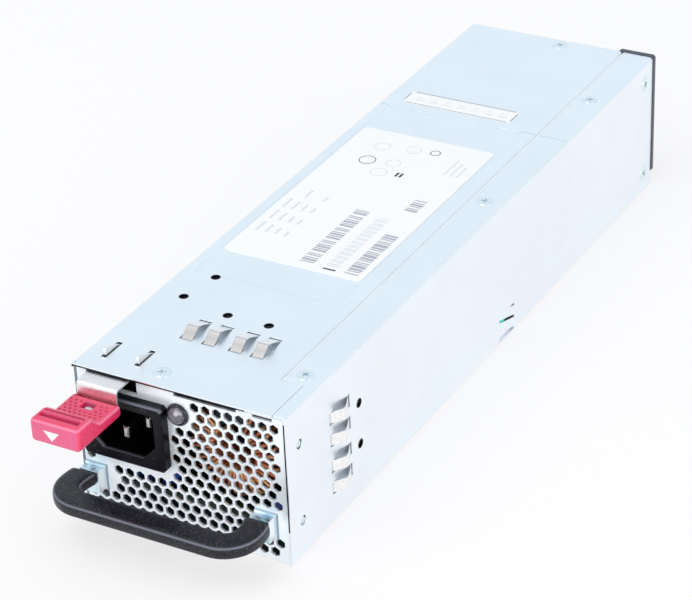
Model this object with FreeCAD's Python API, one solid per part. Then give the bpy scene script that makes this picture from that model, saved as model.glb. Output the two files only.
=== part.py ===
import FreeCAD, Part
import math
import os

from FreeCAD import Vector as V

os.makedirs("parts", exist_ok=True)

# Lengths in mm.  Builders work from the casing's left wall, the front panel's
# face and the underside; CENTRE then puts the origin under the casing's middle.
# Names with _IN, _DROP and _BACK count from the right wall, the top and the rear.
WIDTH, LENGTH, HEIGHT = 76.0, 276.0, 54.0
CENTRE = V(-WIDTH / 2, -LENGTH / 2, 0)

SHEET = 0.9            # zinc plated sheet
FIT = 0.05             # between pieces fastened together
RUN = 0.05             # radial running clearance
BEND = 1.3             # outside bend radius of the sheets
UNDER = HEIGHT - SHEET

# Cover and chassis
LIP = 1.6              # how far the cover stands out in front of the panel
FLANGE_W = 11.8
SEAM_X = WIDTH - FLANGE_W
EAR_IN, EAR_Y, EAR_GAP = 4.3, 17.6, 0.15
EAR_X = WIDTH - EAR_IN
JOGGLE = 1.0
PAD_LEFT, PAD_IN, PAD_START, PAD_BACK = 4.5, 18.5, 64.0, 77.0
PAD = (PAD_LEFT, WIDTH - PAD_IN, PAD_START, LENGTH - PAD_BACK)
PAD_DEPTH = 0.25
LABEL_RIM = (0.7, 0.5, 16.4, 19.0)
TOP_LABEL = (PAD[0] + LABEL_RIM[0], PAD[1] - LABEL_RIM[1], PAD[2] + LABEL_RIM[2], PAD[3] - LABEL_RIM[3])
STRIPE_RIM = (3.0, 6.5, 4.5)
STRIPE_W = 9.0
REAR_LABEL = (PAD[0] + STRIPE_RIM[0], PAD[1] - STRIPE_RIM[1],
              PAD[3] + STRIPE_RIM[2], PAD[3] + STRIPE_RIM[2] + STRIPE_W)
LABEL_R, LABEL_T = 1.8, 0.12

# Screws, rivets and plain holes of the sheets
SMALL_HOLE_R = 1.35
ANCHOR_HOLES = ((13.3, 62.9), (10.4, 47.9))
FRONT_SCREW = (28.9, 5.8)
TAIL_SCREW_X, TAIL_SCREW_BACK = 39.7, 4.5
COVER_SCREWS = (FRONT_SCREW, (TAIL_SCREW_X, LENGTH - TAIL_SCREW_BACK))
FLANGE_SCREW_IN, FLANGE_SCREW_Y, FLANGE_SCREW_BACK = 6.5, (23.1, 146.4), 43.4
FLANGE_SCREWS = tuple((WIDTH - FLANGE_SCREW_IN, y) for y in (*FLANGE_SCREW_Y, LENGTH - FLANGE_SCREW_BACK))
WALL_SCREW_BACK, WALL_SCREW_DROP, WALL_SCREW_Z = 7.2, 8.0, 8.4
WALL_SCREWS = tuple((LENGTH - WALL_SCREW_BACK, z) for z in (HEIGHT - WALL_SCREW_DROP, WALL_SCREW_Z))
RIVET_Y, RIVET_DROP, RIVET_Z = 6.7, 13.4, 12.8
RIVETS = ((RIVET_Y, HEIGHT - RIVET_DROP), (RIVET_Y, RIVET_Z))
RIVET_HOLE_R, RIVET_R, RIVET_LONG = 1.7, 1.3, 2.8
SCREW_R, HEAD_R = 1.45, 2.7
SIDES = 12             # facets of small rounds
SCREW_LENGTH, WALL_SCREW_LENGTH = 2.05, 1.4
PAN_R, PAN_H = 2.05, 1.9

# Vent at the foot of the right wall: sloping bars leave narrow openings
VENT_Y, VENT_Z = (143.3, 155.2), (1.2, 11.3)
VENT_BAR, VENT_SLIT, VENT_FALL = 3.7, 1.1, 0.3
VENT_LOW = 4.1

# Earthing fingers
FINGERS = (0.0, 8.0, 17.6, 25.5)
FINGER_W, FINGER_T = 3.9, 0.3
FINGER_GAP, FINGER_END_GAP = 0.4, 0.8
FINGER_Y = (26.0, 37.2)
CREST, CREST_Y = 2.5, 4.4
LAND_W, LAND_SIDE = 9.0, 1.0
FIXINGS, FIXING_Y = (6.3, 21.4), 43.6
TOP_FINGERS_X, WALL_FINGERS_DROP = 23.2, 13.7
WALL_FINGERS_Z = HEIGHT - WALL_FINGERS_DROP

# Front panel
PANEL_GAP = 0.1
PANEL_X = (SHEET + PANEL_GAP, WIDTH - SHEET - PANEL_GAP)
PANEL_TOP = UNDER - PANEL_GAP
RETURN = 11.0
HEX_PITCH, HEX_FLATS = 4.0, 3.1
HEX_DROP, HEX_FLOOR, HEX_X = 5.7, 3.0, 43.4
HEX_SIDES = (3.0, 4.0)
HEX_RIM = (1.6, 3.0)   # plain sheet beside and below the inlet
HEX_LAMP = 6.2
BEND_SLOT_X, BEND_SLOT_IN = (36.3, 58.4), (12.0, 5.1)
BEND_SLOTS = (BEND_SLOT_X, (WIDTH - BEND_SLOT_IN[0], WIDTH - BEND_SLOT_IN[1]))
BEND_SLOT_H, BEND_SLOT_Y = 2.2, 3.2

# Grip and the drawn bosses that carry it
GRIP_LEFT, GRIP_IN, GRIP_LEG = -2.3, 4.5, 8.9
GRIP_MID = (GRIP_LEFT + WIDTH - GRIP_IN) / 2
GRIP_HALF = WIDTH - GRIP_IN - GRIP_MID
GRIP_REACH = (GRIP_HALF - GRIP_LEG, GRIP_HALF)
GRIP_TAPER = (1.3, 1.5)
GRIP_ROOT = (GRIP_REACH[0] - GRIP_TAPER[0], GRIP_REACH[1] - GRIP_TAPER[1])
GRIP_Z = (12.0, 17.0)
GRIP_FRONT, GRIP_BAR = -22.9, 9.3
GRIP_BACK = GRIP_FRONT + GRIP_BAR
GRIP_CORNER, GRIP_INNER_CORNER = 12.4, 4.2
GRIP_SOFT = 2.0
GRIP_SCREW, GRIP_SCREW_SINK = 6.0, 0.5
GRIP_SCREW_Z = sum(GRIP_Z) / 2 - GRIP_SCREW_SINK
BOSS_W, BOSS_LEFT, BOSS_RIGHT = 6.9, 3.6, 1.3
BOSSES = ((GRIP_LEFT + BOSS_LEFT, GRIP_LEFT + BOSS_LEFT + BOSS_W),
          (WIDTH - GRIP_IN - BOSS_RIGHT - BOSS_W, WIDTH - GRIP_IN - BOSS_RIGHT))
BOSS_Z = (9.0, 17.0)
BOSS_DEPTH, BOSS_FLARE, BOSS_STEP = 4.2, 1.1, 1.0

# Mains inlet
INLET_X, INLET_DROP = (3.7, 33.5), (30.6, 7.5)
INLET = (*INLET_X, HEIGHT - INLET_DROP[0], HEIGHT - INLET_DROP[1])
INLET_PROUD = 3.7
INLET_BEVEL, INLET_CORNER = 0.5, 0.9
INLET_WALL = 1.7
INLET_DEPTH = 24.0
CAVITY_RIM = (2.7, 3.0, 3.7, 2.9)
CAVITY = (INLET[0] + CAVITY_RIM[0], INLET[1] - CAVITY_RIM[1],
          INLET[2] + CAVITY_RIM[2], INLET[3] - CAVITY_RIM[3])
CAVITY_DEPTH = 16.5
CAVITY_CHAMFER, CAVITY_R = 4.7, 2.4
PIN_PITCH, PIN_DROP = 7.0, 4.0
PIN = (2.0, 4.0)
PIN_START, PIN_TAIL, PIN_TIP, EARTH_AHEAD = 0.8, 8.0, 0.5, 2.3

# Lamp
LAMP_RING_R, LAMP_R, LAMP_WALL = 3.85, 2.85, 0.6
LAMP_LIP, LAMP_GAP, LAMP_DROP, LAMP_LONG = 1.1, 0.1, 9.6, 6.0
LAMP_X, LAMP_Z = INLET[1] + LAMP_GAP + LAMP_RING_R, HEIGHT - LAMP_DROP

# Latch
LEAF_X = (6.4, 21.0)
LEAF_T, LEAF_DROP = 0.7, 1.3
LEAF_TOP = HEIGHT - LEAF_DROP
LEAF_BEND = 1.6
HINGE_Y, HINGE_GAP, ANCHOR_LONG = 46.0, 0.35, 21.0
TOOTH_IN, TOOTH_T, TOOTH_Y, TOOTH_H = (0.65, 1.75), 1.0, (6.3, 14.6), 2.6
TEETH_X = (LEAF_X[0] + TOOTH_IN[0], LEAF_X[1] - TOOTH_IN[1])
TOOTH_GAP, TOOTH_END_GAP = 0.45, 0.75
LEG_Y = -8.1
FOOT_DROP, FOOT_Y = 8.0, -17.5
FOOT_Z = HEIGHT - FOOT_DROP
GATE_SIDE, GATE_DROP = (1.8, 1.9), 6.4
TAB_SIDE = (1.75, 1.3)
TAB_X = (LEAF_X[0] - TAB_SIDE[0], LEAF_X[1] + TAB_SIDE[1])
TAB_DROP, TAB_PAD_DROP, TAB_HUMP_DROP = 10.1, 5.8, 1.9
TAB_Z, TAB_PAD, TAB_HUMP = HEIGHT - TAB_DROP, HEIGHT - TAB_PAD_DROP, HEIGHT - TAB_HUMP_DROP
TAB_Y = (-31.0, -7.5)
TAB_SOFT = 0.8
TAB_EDGE = (0.8, 1.2, 1.4)          # small bevels of the pad's rear end
NOSE_RUN = (11.8, 10.3, 8.6, 7.3, 2.7, 1.1, 0.3, 0.5)
NOSE_RISE = (0.7, 0.7, 0.5, 1.8, 0.5)
RIB_SIDE = 1.4                      # grooves of the nose: start, width, depth
RIBS = ((2.6, 2.0, 2.2), (6.3, 0.6, 1.2))
STAKE_R, STAKE_TOP, STAKE_SINK = 1.35, 1.2, 0.2
HATCH, HATCH_Y = (4.4, 3.4), -12.6

# Rear end: connector
SHROUD_IN, SHROUD_OVER = 14.3, 0.3
SHROUD_Z, SHROUD_BACK, SHROUD_OUT, SHROUD_R = 5.7, 18.0, 1.9, 0.8
SHROUD = (WIDTH - SHROUD_IN, WIDTH + SHROUD_OVER, SHROUD_Z, HEIGHT + SHROUD_OVER)
SHROUD_Y = LENGTH - SHROUD_BACK
CORE_IN, CORE_RISE, CORE_DROP = (13.0, 2.0), 1.5, 3.5
SHROUD_BODY = (WIDTH - CORE_IN[0], WIDTH - CORE_IN[1], SHROUD_Z + CORE_RISE, HEIGHT - CORE_DROP)
MOUTH_RIM, MOUTH_FLOOR = (2.0, 1.8, 2.0, 2.0), 3.5
SHROUD_MOUTH = (SHROUD_BODY[0] + MOUTH_RIM[0], SHROUD_BODY[1] - MOUTH_RIM[1],
                SHROUD_BODY[2] + MOUTH_RIM[2], SHROUD_BODY[3] - MOUTH_RIM[3])
BOARD_T = 1.6
TONGUE_IN, TONGUE_RIM, TONGUE_BACK = 8.0, (1.8, 2.5), 5.0
TONGUE_X = WIDTH - TONGUE_IN
TONGUE_Z = (SHROUD_MOUTH[2] + TONGUE_RIM[0], SHROUD_MOUTH[3] - TONGUE_RIM[1])
TONGUE_END = LENGTH - TONGUE_BACK
TONGUE_ROOT, ROOT_TOP, ROOT_GAP = 31.0, 2.0, 1.0
CONTACT_PITCH, CONTACT_W, CONTACT_T, CONTACT_RIM = 3.2, 2.1, 0.1, (1.4, 4.5, 0.6)

# Rear end: fan
FAN_LEFT, FAN_RISE, FAN_TOP_GAP, FAN_WALL = 3.0, 2.0, 2.2, 1.1
FAN_SIZE = HEIGHT - FAN_RISE - FAN_TOP_GAP
FAN_X, FAN_Z = (SHROUD_BODY[0] + FAN_LEFT) / 2, FAN_RISE + FAN_SIZE / 2
FAN_BACK, FAN_DEPTH, FAN_CHAMFER = 1.0, 20.0, 2.5
FAN_Y = (LENGTH - FAN_BACK - FAN_DEPTH, LENGTH - FAN_BACK)
FAN_BORE = FAN_SIZE / 2 - FAN_WALL
TIP_GAP, HUB_R = 1.6, 11.0
BLADE_TIP = FAN_BORE - TIP_GAP
BLADE_T, BLADE_PITCH, BLADE_W = 1.2, 40.0, (9.2, 13.6)
BLADES = 7
ROTOR_INSET, ROTOR_LONG = 2.0, 12.5
ROTOR_Y = (FAN_Y[0] + ROTOR_INSET, FAN_Y[0] + ROTOR_INSET + ROTOR_LONG)
SHAFT_R, SHAFT_LONG, MOTOR_GAP = 1.5, 4.5, 0.8
STRUT_W, STRUT_T = 3.2, 2.7
SLOT_W, SLOT_PITCH, GRILLE_EDGE, GRILLE_RIB = 2.9, 4.6, 0.3, 2.4
REAR_RETURNS, REAR_RETURN_Z = (8.0, 12.0), (3.0, 4.0)

# Boards and what stands on them
BOARD_SIDE, BOARD_START, BOARD_BACK = 3.0, 6.0, 26.0
BOARD = (BOARD_SIDE, WIDTH - BOARD_SIDE, BOARD_START, LENGTH - BOARD_BACK)
BOARD_Z = 8.0
BOARD_TOP = BOARD_Z + BOARD_T
POST_R, POST_IN, POST_Y, POST_BACK, POST_ASIDE = 2.5, 8.0, (34.0, 178.0), 34.0, 6.0
POSTS = [(x, y) for y in POST_Y for x in (POST_IN, WIDTH - POST_IN)]
POSTS += [(POST_IN, LENGTH - POST_BACK), (WIDTH - POST_IN - POST_ASIDE, LENGTH - POST_BACK)]
FILM_T, FILM_SIDE, FILM_START, FILM_BACK, FILM_HOLE = 0.4, 2.0, 14.0, 24.0, 0.4
CAN_R, CAN_X, CAN_Y, CAN_HEADROOM, CAN_EDGE = 14.0, 18.0, (124.0, 156.0), 4.5, 1.2
WIRE, TURN_W, LEAD_R, LEAD_X = 1.8, 1.6, 0.9, 6.0
FILTER_R, FILTER_BORE, FILTER_LONG, FILTER_Y, FILTER_GAP = 15.2, 8.4, 11.0, 12.7, 0.2
BOOST_R, BOOST_BORE, BOOST_LONG, BOOST_Y = 14.5, 8.0, 12.0, 118.0
COIL_RISE, BOOST_RISE = 0.4, 1.9
DISC_R, DISC_T, DISC_Y, DISC_RISE, DISC_LEG = 4.2, 3.0, 7.2, 5.4, 2.0
DISC_X, DISC_IN = (17.0, 26.5), 7.4
CORE_GAP, CORE_SIDE = 2.0, 12.0
TRANSFORMER = (CAN_X + CAN_R + CORE_GAP, WIDTH - CORE_SIDE, 148.0, 186.0)
LIMB, CORE_Z, CORE_H, CORE_SET, COIL_GAP = 6.0, 4.0, 32.0, 8.0, 0.2
SINK_X, SINK_TOP, SINK_FOOT = (8.0, 54.0), 34.0, 8.0
SINK_STEM, FIN_T, FIN_PITCH = 3.0, 1.6, 9.0
SINK_Y, SINK_BACK = (70.0, 104.0), (58.0, 28.0)
SINKS_Y = (SINK_Y, (LENGTH - SINK_BACK[0], LENGTH - SINK_BACK[1]))


def box(x0, x1, y0, y1, z0, z1):
    return Part.makeBox(x1 - x0, y1 - y0, z1 - z0, V(x0, y0, z0))


def rod(centre, radius, length, axis):
    return Part.makeCylinder(radius, length, V(*centre), axis)


def corners(radius, sides, z):
    turn = 2 * math.pi / sides
    return [V(radius * math.cos(turn * k), radius * math.sin(turn * k), z) for k in range(sides)]


def flat(ring):
    return Part.Face(Part.makePolygon(ring + ring[:1]))


def facets(rings):
    """Solid with flat sides through rings of equally many corners."""
    skin = [flat(rings[0]), flat(rings[-1])]
    for low, high in zip(rings, rings[1:]):
        for k in range(len(low)):
            skin.append(flat([low[k - 1], low[k], high[k], high[k - 1]]))
    shell = Part.Shell(skin)
    shell.sewShape()
    body = Part.Solid(shell)
    if body.Volume < 0:
        body.reverse()
    return body


def peg(centre, radius, length, axis, sides=SIDES):
    """Rod drawn with few sides, for small or hidden rounds."""
    body = flat(corners(radius, sides, 0)).extrude(V(0, 0, length))
    body.Placement = FreeCAD.Placement(V(*centre), FreeCAD.Rotation(V(0, 0, 1), axis))
    return body


def plate(points, plane, start, depth):
    """Prism of a closed outline; plane names the two axes of its points."""
    place = {
        "xy": lambda a, b: V(a, b, start),
        "xz": lambda a, b: V(a, start, b),
        "yz": lambda a, b: V(start, a, b),
    }[plane]
    run = {"xy": V(0, 0, depth), "xz": V(0, depth, 0), "yz": V(depth, 0, 0)}[plane]
    return flat([place(a, b) for a, b in points]).extrude(run)


def soften(shape, radius, wanted):
    """Round the straight or curved edges that wanted() picks."""
    return shape.makeFillet(radius, [e for e in shape.Edges if wanted(e)])


def bevel(shape, size, wanted):
    return shape.makeChamfer(size, [e for e in shape.Edges if wanted(e)])


def runs(edge, axis):
    bounds = edge.BoundBox
    size = {"x": bounds.XLength, "y": bounds.YLength, "z": bounds.ZLength}
    return all(size[a] < 1e-6 for a in size if a != axis) and size[axis] > 1e-3


def fuse(shapes):
    whole = shapes[0]
    if len(shapes) > 1:
        whole = whole.multiFuse(shapes[1:])
    return whole.removeSplitter()


def frustum(low, high, height):
    """Faceted cone below z = 0, widening upwards."""
    return facets([corners(low, SIDES, -height), corners(high, SIDES, 0)])


def countersunk(length):
    """Countersunk screw with its face at z = 0, pointing down."""
    head = frustum(SCREW_R, HEAD_R, SHEET)
    return fuse([head, peg((0, 0, -length), SCREW_R, length - SHEET, V(0, 0, 1))])


def seat(x, y, top):
    """Countersink in the top sheet and clearance hole through the sheets below."""
    cone = frustum(SCREW_R + FIT, HEAD_R + FIT, SHEET)
    cone.translate(V(x, y, top))
    drop = SCREW_LENGTH + 2 * SHEET
    return fuse([cone, peg((x, y, top - drop), SCREW_R + FIT, drop - SHEET, V(0, 0, 1))])


def on_wall(shape):
    """Stand a piece made for the top on the right wall instead."""
    shape.rotate(V(0, 0, 0), V(0, 1, 0), 90)
    return shape


def wall_place(shape, y, z):
    shape = on_wall(shape)
    shape.translate(V(WIDTH, y, z))
    return shape


# ---------------------------------------------------------------- casing

def finger_windows():
    cuts = []
    for start in FINGERS:
        cuts.append(box(start - FINGER_GAP, start + FINGER_W + FINGER_GAP,
                        FINGER_Y[0] - FINGER_END_GAP, FINGER_Y[1] + FINGER_END_GAP, -2 * SHEET, SHEET))
    return cuts


def fixing_holes():
    return [peg((x, FIXING_Y, -2 * SHEET), SMALL_HOLE_R, 3 * SHEET, V(0, 0, 1)) for x in FIXINGS]


def finger_strip():
    """Bowed fingers over a land that lies under the sheet, whose face is at z = 0."""
    land = -SHEET - FIT
    tip = land + FINGER_T + 2 * FIT
    y0, y1 = FINGER_Y
    crest = y0 + CREST_Y
    line = [(y0, tip), (y0 + CREST_Y / 2, CREST / 3), (crest - SHEET, CREST - FINGER_T),
            (crest, CREST), (crest + SHEET, CREST - FINGER_T / 3), (y1 - FINGER_T, 0),
            (y1 + FINGER_END_GAP / 2, land), (y1 + 2 * SHEET, land)]
    under = [(y, z - FINGER_T) for y, z in reversed(line)]
    fingers = [plate(line + under, "yz", start, FINGER_W) for start in FINGERS]
    strip = box(-LAND_SIDE, FINGERS[-1] + FINGER_W + LAND_SIDE, y0 - LAND_SIDE, y1 + LAND_W,
                land - FINGER_T, land)
    return fuse(fingers + [strip]).cut(fixing_holes())


def cover():
    """Top plate and left wall folded from one sheet."""
    low = UNDER - FIT
    inner = WIDTH - SHEET - FIT
    slope = JOGGLE * 0.6
    rear = [(0, 0), (0, HEIGHT), (SEAM_X - JOGGLE, HEIGHT), (SEAM_X, low), (inner, low),
            (inner, low - SHEET), (SEAM_X - slope, low - SHEET), (SEAM_X - JOGGLE - slope, UNDER),
            (SHEET, UNDER), (SHEET, 0)]
    front = [(0, 0), (0, HEIGHT), (EAR_X, HEIGHT), (EAR_X, UNDER), (SHEET, UNDER), (SHEET, 0)]
    body = plate(rear, "xz", EAR_Y, LENGTH - EAR_Y)
    body = fuse([body, plate(front, "xz", -LIP, EAR_Y + LIP)])
    body = soften(body, BEND, lambda e: runs(e, "y") and e.BoundBox.XMin < 1e-6
                  and e.BoundBox.ZMin > HEIGHT - 1e-6)
    cuts = [box(*PAD, HEIGHT - PAD_DEPTH, HEIGHT + 1)]
    cuts.append(box(-1, SHEET + FIT, -LIP - 1, 0, -1, HEIGHT - BEND))
    for x, y in ANCHOR_HOLES:
        cuts.append(peg((x, y, UNDER - 1), SMALL_HOLE_R, SHEET + 2, V(0, 0, 1)))
    for x in TEETH_X:
        cuts.append(box(x - TOOTH_GAP, x + TOOTH_T + TOOTH_GAP, TOOTH_Y[0] - TOOTH_END_GAP,
                        TOOTH_Y[1] + TOOTH_END_GAP, UNDER - 1, HEIGHT + 1))
    for cut in finger_windows() + fixing_holes():
        cut.translate(V(TOP_FINGERS_X, 0, HEIGHT))
        cuts.append(cut)
    for x, y in COVER_SCREWS + FLANGE_SCREWS:
        cuts.append(seat(x, y, HEIGHT))
    return body.cut(cuts)


def vent():
    """Window whose sloping bars leave two slits and a low opening."""
    y0, y1 = VENT_Y
    z0, z1 = VENT_Z
    hole = box(WIDTH - 2 * SHEET, WIDTH + 1, y0, y1, z0, z1)
    fall = VENT_FALL * (y1 - y0 + 2)
    for k in range(2):
        z = z0 + VENT_LOW + k * (VENT_BAR + VENT_SLIT) + VENT_FALL
        bar = [(y0 - 1, z), (y1 + 1, z - fall), (y1 + 1, z - fall + VENT_BAR), (y0 - 1, z + VENT_BAR)]
        hole = hole.cut(plate(bar, "yz", WIDTH - 3 * SHEET, 5 * SHEET))
    return hole


def chassis():
    """Bottom, right wall and top flange folded from one sheet."""
    inner = WIDTH - SHEET
    left = SHEET + FIT
    section = [(left, 0), (WIDTH, 0), (WIDTH, HEIGHT), (SEAM_X, HEIGHT), (SEAM_X, UNDER),
               (inner, UNDER), (inner, SHEET), (left, SHEET)]
    body = plate(section, "xz", -LIP / 2, LENGTH + LIP / 2)
    body = soften(body, BEND, lambda e: runs(e, "y") and e.BoundBox.XMin > WIDTH - 1e-6)
    cuts = [box(SEAM_X - 1, EAR_X + EAR_GAP, -LIP, EAR_Y + EAR_GAP, UNDER - 1, HEIGHT + 1)]
    cuts.append(box(0, inner, -LIP, SHEET + FIT, -1, UNDER))
    for y, z in RIVETS:
        cuts.append(peg((inner - 1, y, z), RIVET_HOLE_R, SHEET + 2, V(1, 0, 0)))
    for x, y in FLANGE_SCREWS:
        cuts.append(seat(x, y, HEIGHT))
    for y, z in WALL_SCREWS:
        cuts.append(wall_place(seat(0, 0, 0), y, z))
    for cut in finger_windows() + fixing_holes():
        cut = on_wall(cut)
        cut.translate(V(WIDTH, 0, WALL_FINGERS_Z))
        cuts.append(cut)
    cuts.append(vent())
    return body.cut(cuts)


def hexagon(x, z):
    r = HEX_FLATS / math.sqrt(3)
    ring = [(x + r * math.sin(math.pi * k / 3), z + r * math.cos(math.pi * k / 3)) for k in range(6)]
    return plate(ring, "xz", -1, SHEET + 2)


def hex_blocked(x, z):
    """Plain sheet round the lamp, the inlet and the bosses."""
    lamp = math.hypot(x - LAMP_X, z - LAMP_Z) < HEX_LAMP
    beside = x < INLET[1] + HEX_RIM[0] and z > INLET[2] - HEX_RIM[0]
    below = INLET[0] + HEX_RIM[0] < x < INLET[1] and z > INLET[2] - HEX_RIM[1]
    low = BOSS_Z[0] - BOSS_FLARE < z < BOSS_Z[1] + HEX_FLATS / 2
    left = low and x < BOSSES[0][1] + HEX_PITCH
    right = low and x > BOSSES[1][0] - HEX_FLATS / 2
    return lamp or beside or below or left or right


def hex_field():
    """Pointed-up hexagons on a triangular grid, as many as the panel takes."""
    holes = []
    z = HEIGHT - HEX_DROP
    shift = 0.0
    while z > HEX_FLOOR:
        x = HEX_X + shift
        x -= HEX_PITCH * math.floor((x - HEX_SIDES[0]) / HEX_PITCH)
        while x < WIDTH - HEX_SIDES[1]:
            if not hex_blocked(x, z):
                holes.append(hexagon(x, z))
            x += HEX_PITCH
        z -= HEX_PITCH * math.sqrt(3) / 2
        shift = HEX_PITCH / 2 - shift
    return holes


def boss(x0, x1, shrink):
    """Drawn boss, flaring into the sheet at its root."""
    z0, z1 = BOSS_Z
    rings = []
    for y, grow in ((SHEET, BOSS_FLARE), (0, BOSS_FLARE), (-BOSS_STEP, 0), (shrink - BOSS_DEPTH, 0)):
        g = grow - shrink
        places = ((x0 - g, z0 - g), (x1 + g, z0 - g), (x1 + g, z1 + g), (x0 - g, z1 + g))
        rings.append([V(x, y, z) for x, z in places])
    return facets(rings)


def front_panel():
    """Perforated panel with drawn bosses, top return and side returns."""
    x0, x1 = PANEL_X
    body = fuse([
        box(x0, x1, 0, SHEET, 0, PANEL_TOP),
        box(x0, x1, 0, RETURN, PANEL_TOP - SHEET, PANEL_TOP),
        box(x1 - SHEET, x1, 0, RETURN, SHEET + FIT, PANEL_TOP),
        box(x0, x0 + SHEET, 0, RETURN, SHEET + FIT, PANEL_TOP)])
    body = soften(body, BEND, lambda e: runs(e, "x") and e.BoundBox.YMax < 1e-6
                  and e.BoundBox.ZMin > PANEL_TOP - 1e-6)
    body = fuse([body] + [boss(a, b, 0) for a, b in BOSSES])
    cuts = [boss(a, b, SHEET) for a, b in BOSSES]
    cuts.append(box(-WIDTH, x0, -LENGTH, LENGTH, 0, HEIGHT))
    for a, b in BOSSES:
        hole = ((a + b) / 2, -BOSS_DEPTH - 1, GRIP_SCREW_Z)
        cuts.append(peg(hole, SCREW_R + FIT, SHEET + 2, V(0, 1, 0)))
    cuts.append(box(LEAF_X[0] - GATE_SIDE[0], LEAF_X[1] + GATE_SIDE[1], -1, RETURN + 1,
                    HEIGHT - GATE_DROP, HEIGHT))
    for a, b in BEND_SLOTS:
        cuts.append(box(a, b, -1, BEND_SLOT_Y, PANEL_TOP - BEND_SLOT_H, PANEL_TOP + 1))
    a0, a1, b0, b1 = INLET
    w = INLET_WALL - FIT
    cuts.append(box(a0 + w, a1 - w, -1, SHEET + 1, b0 + w, b1 - w))
    cuts.append(peg((LAMP_X, -1, LAMP_Z), LAMP_R + LAMP_WALL + 2 * FIT, SHEET + 2, V(0, 1, 0), 16))
    cuts.append(seat(*FRONT_SCREW, HEIGHT))
    for y, z in RIVETS:
        cuts.append(peg((x1 - 2, y, z), RIVET_R + FIT, 3, V(1, 0, 0)))
    return body.cut(cuts + hex_field())


def grille_slots():
    """Rings of slots in front of the fan, parted by four ribs."""
    y = V(0, 1, 0)
    start = (FAN_X, LENGTH - 2 * SHEET, FAN_Z)
    rings = []
    outer = FAN_BORE - GRILLE_EDGE
    while outer - SLOT_W > HUB_R:
        sides = 8 * round(outer / 8)
        ring = peg(start, outer, 3 * SHEET, y, sides).cut(peg(start, outer - SLOT_W, 3 * SHEET, y, sides))
        rings.append(ring)
        outer -= SLOT_PITCH
    holes = Part.makeCompound(rings)
    for angle in (45, 135):
        rib = box(-FAN_SIZE, FAN_SIZE, LENGTH - 3 * SHEET, LENGTH + 3 * SHEET,
                  -GRILLE_RIB / 2, GRILLE_RIB / 2)
        rib.rotate(V(0, 0, 0), y, angle)
        rib.translate(V(FAN_X, 0, FAN_Z))
        holes = holes.cut(rib)
    return holes


def rear_panel():
    """Rear sheet: stamped fan grille, connector opening, returns."""
    x0, x1 = PANEL_X
    y1 = LENGTH
    top_return, side_return = REAR_RETURNS
    z0, z1 = REAR_RETURN_Z[0], HEIGHT - REAR_RETURN_Z[1]
    flange = SEAM_X - REAR_RETURN_Z[0]
    body = fuse([
        box(x0, x1, y1 - SHEET, y1, SHEET + FIT, PANEL_TOP),
        box(x0 + SHEET, flange, y1 - top_return, y1, PANEL_TOP - SHEET, PANEL_TOP),
        box(x1 - SHEET, x1, y1 - side_return, y1, z0, z1),
        box(x0, x0 + SHEET, y1 - side_return, y1, z0, z1)])
    a0, a1, b0, b1 = SHROUD_BODY
    cuts = [box(flange, x1, y1 - SHEET, y1, PANEL_TOP - SHEET - FIT, PANEL_TOP), grille_slots(),
            box(a0 - FIT, a1 + FIT, y1 - 2 * SHEET, y1 + 1, b0 - FIT, b1 + FIT),
            seat(*COVER_SCREWS[1], HEIGHT)]
    return body.cut(cuts + [wall_place(seat(0, 0, 0), y, z) for y, z in WALL_SCREWS])


def cover_screws():
    screws = []
    for x, y in COVER_SCREWS + FLANGE_SCREWS:
        screw = countersunk(SCREW_LENGTH)
        screw.translate(V(x, y, HEIGHT))
        screws.append(screw)
    return Part.makeCompound(screws)


def wall_screws():
    return Part.makeCompound([wall_place(countersunk(WALL_SCREW_LENGTH), y, z) for y, z in WALL_SCREWS])


def wall_rivets():
    start = PANEL_X[1] - 2 * SHEET - FIT
    return Part.makeCompound([peg((start, y, z), RIVET_R, RIVET_LONG, V(1, 0, 0)) for y, z in RIVETS])


def sticker(area, z):
    """Thin sheet with small rounded corners."""
    x0, x1, y0, y1 = area
    r = LABEL_R
    ring = []
    corners = ((x1 - r, y1 - r, 0), (x0 + r, y1 - r, 90), (x0 + r, y0 + r, 180), (x1 - r, y0 + r, 270))
    for x, y, turn in corners:
        for step in range(4):
            angle = math.radians(turn + 30 * step)
            ring.append((x + r * math.cos(angle), y + r * math.sin(angle)))
    return plate(ring, "xy", z, LABEL_T)


# ---------------------------------------------------------------- front fittings

def cavity():
    """C14 socket outline: two lower corners cut off, two upper ones round."""
    x0, x1, z0, z1 = CAVITY
    c = CAVITY_CHAMFER
    ring = [(x0, z0 + c), (x0 + c, z0), (x1 - c, z0), (x1, z0 + c), (x1, z1), (x0, z1)]
    hole = plate(ring, "xz", -INLET_PROUD - 1, INLET_PROUD + 1 + CAVITY_DEPTH)
    return soften(hole, CAVITY_R, lambda e: runs(e, "y") and e.BoundBox.ZMin > z1 - 1e-6)


def inlet_housing():
    x0, x1, z0, z1 = INLET
    flange = box(x0, x1, -INLET_PROUD, -FIT, z0, z1)
    flange = bevel(flange, INLET_CORNER, lambda e: runs(e, "y"))
    flange = bevel(flange, INLET_BEVEL, lambda e: e.BoundBox.YMax < -INLET_PROUD + 1e-6)
    w = INLET_WALL
    core = box(x0 + w, x1 - w, -FIT - w / 2, INLET_DEPTH, z0 + w, z1 - w)
    body = fuse([flange, core]).cut(cavity())
    return body.cut([pin(*place, FIT) for place in pin_places()])


def pin_places():
    """Two live pins and, lower down and longer, the earth pin."""
    x = (CAVITY[0] + CAVITY[1]) / 2
    z = (CAVITY[2] + CAVITY[3]) / 2
    high, low = z + PIN_DROP / 2, z - PIN_DROP / 2
    return ((x - PIN_PITCH, high, PIN_START), (x + PIN_PITCH, high, PIN_START),
            (x, low, PIN_START - EARTH_AHEAD))


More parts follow.
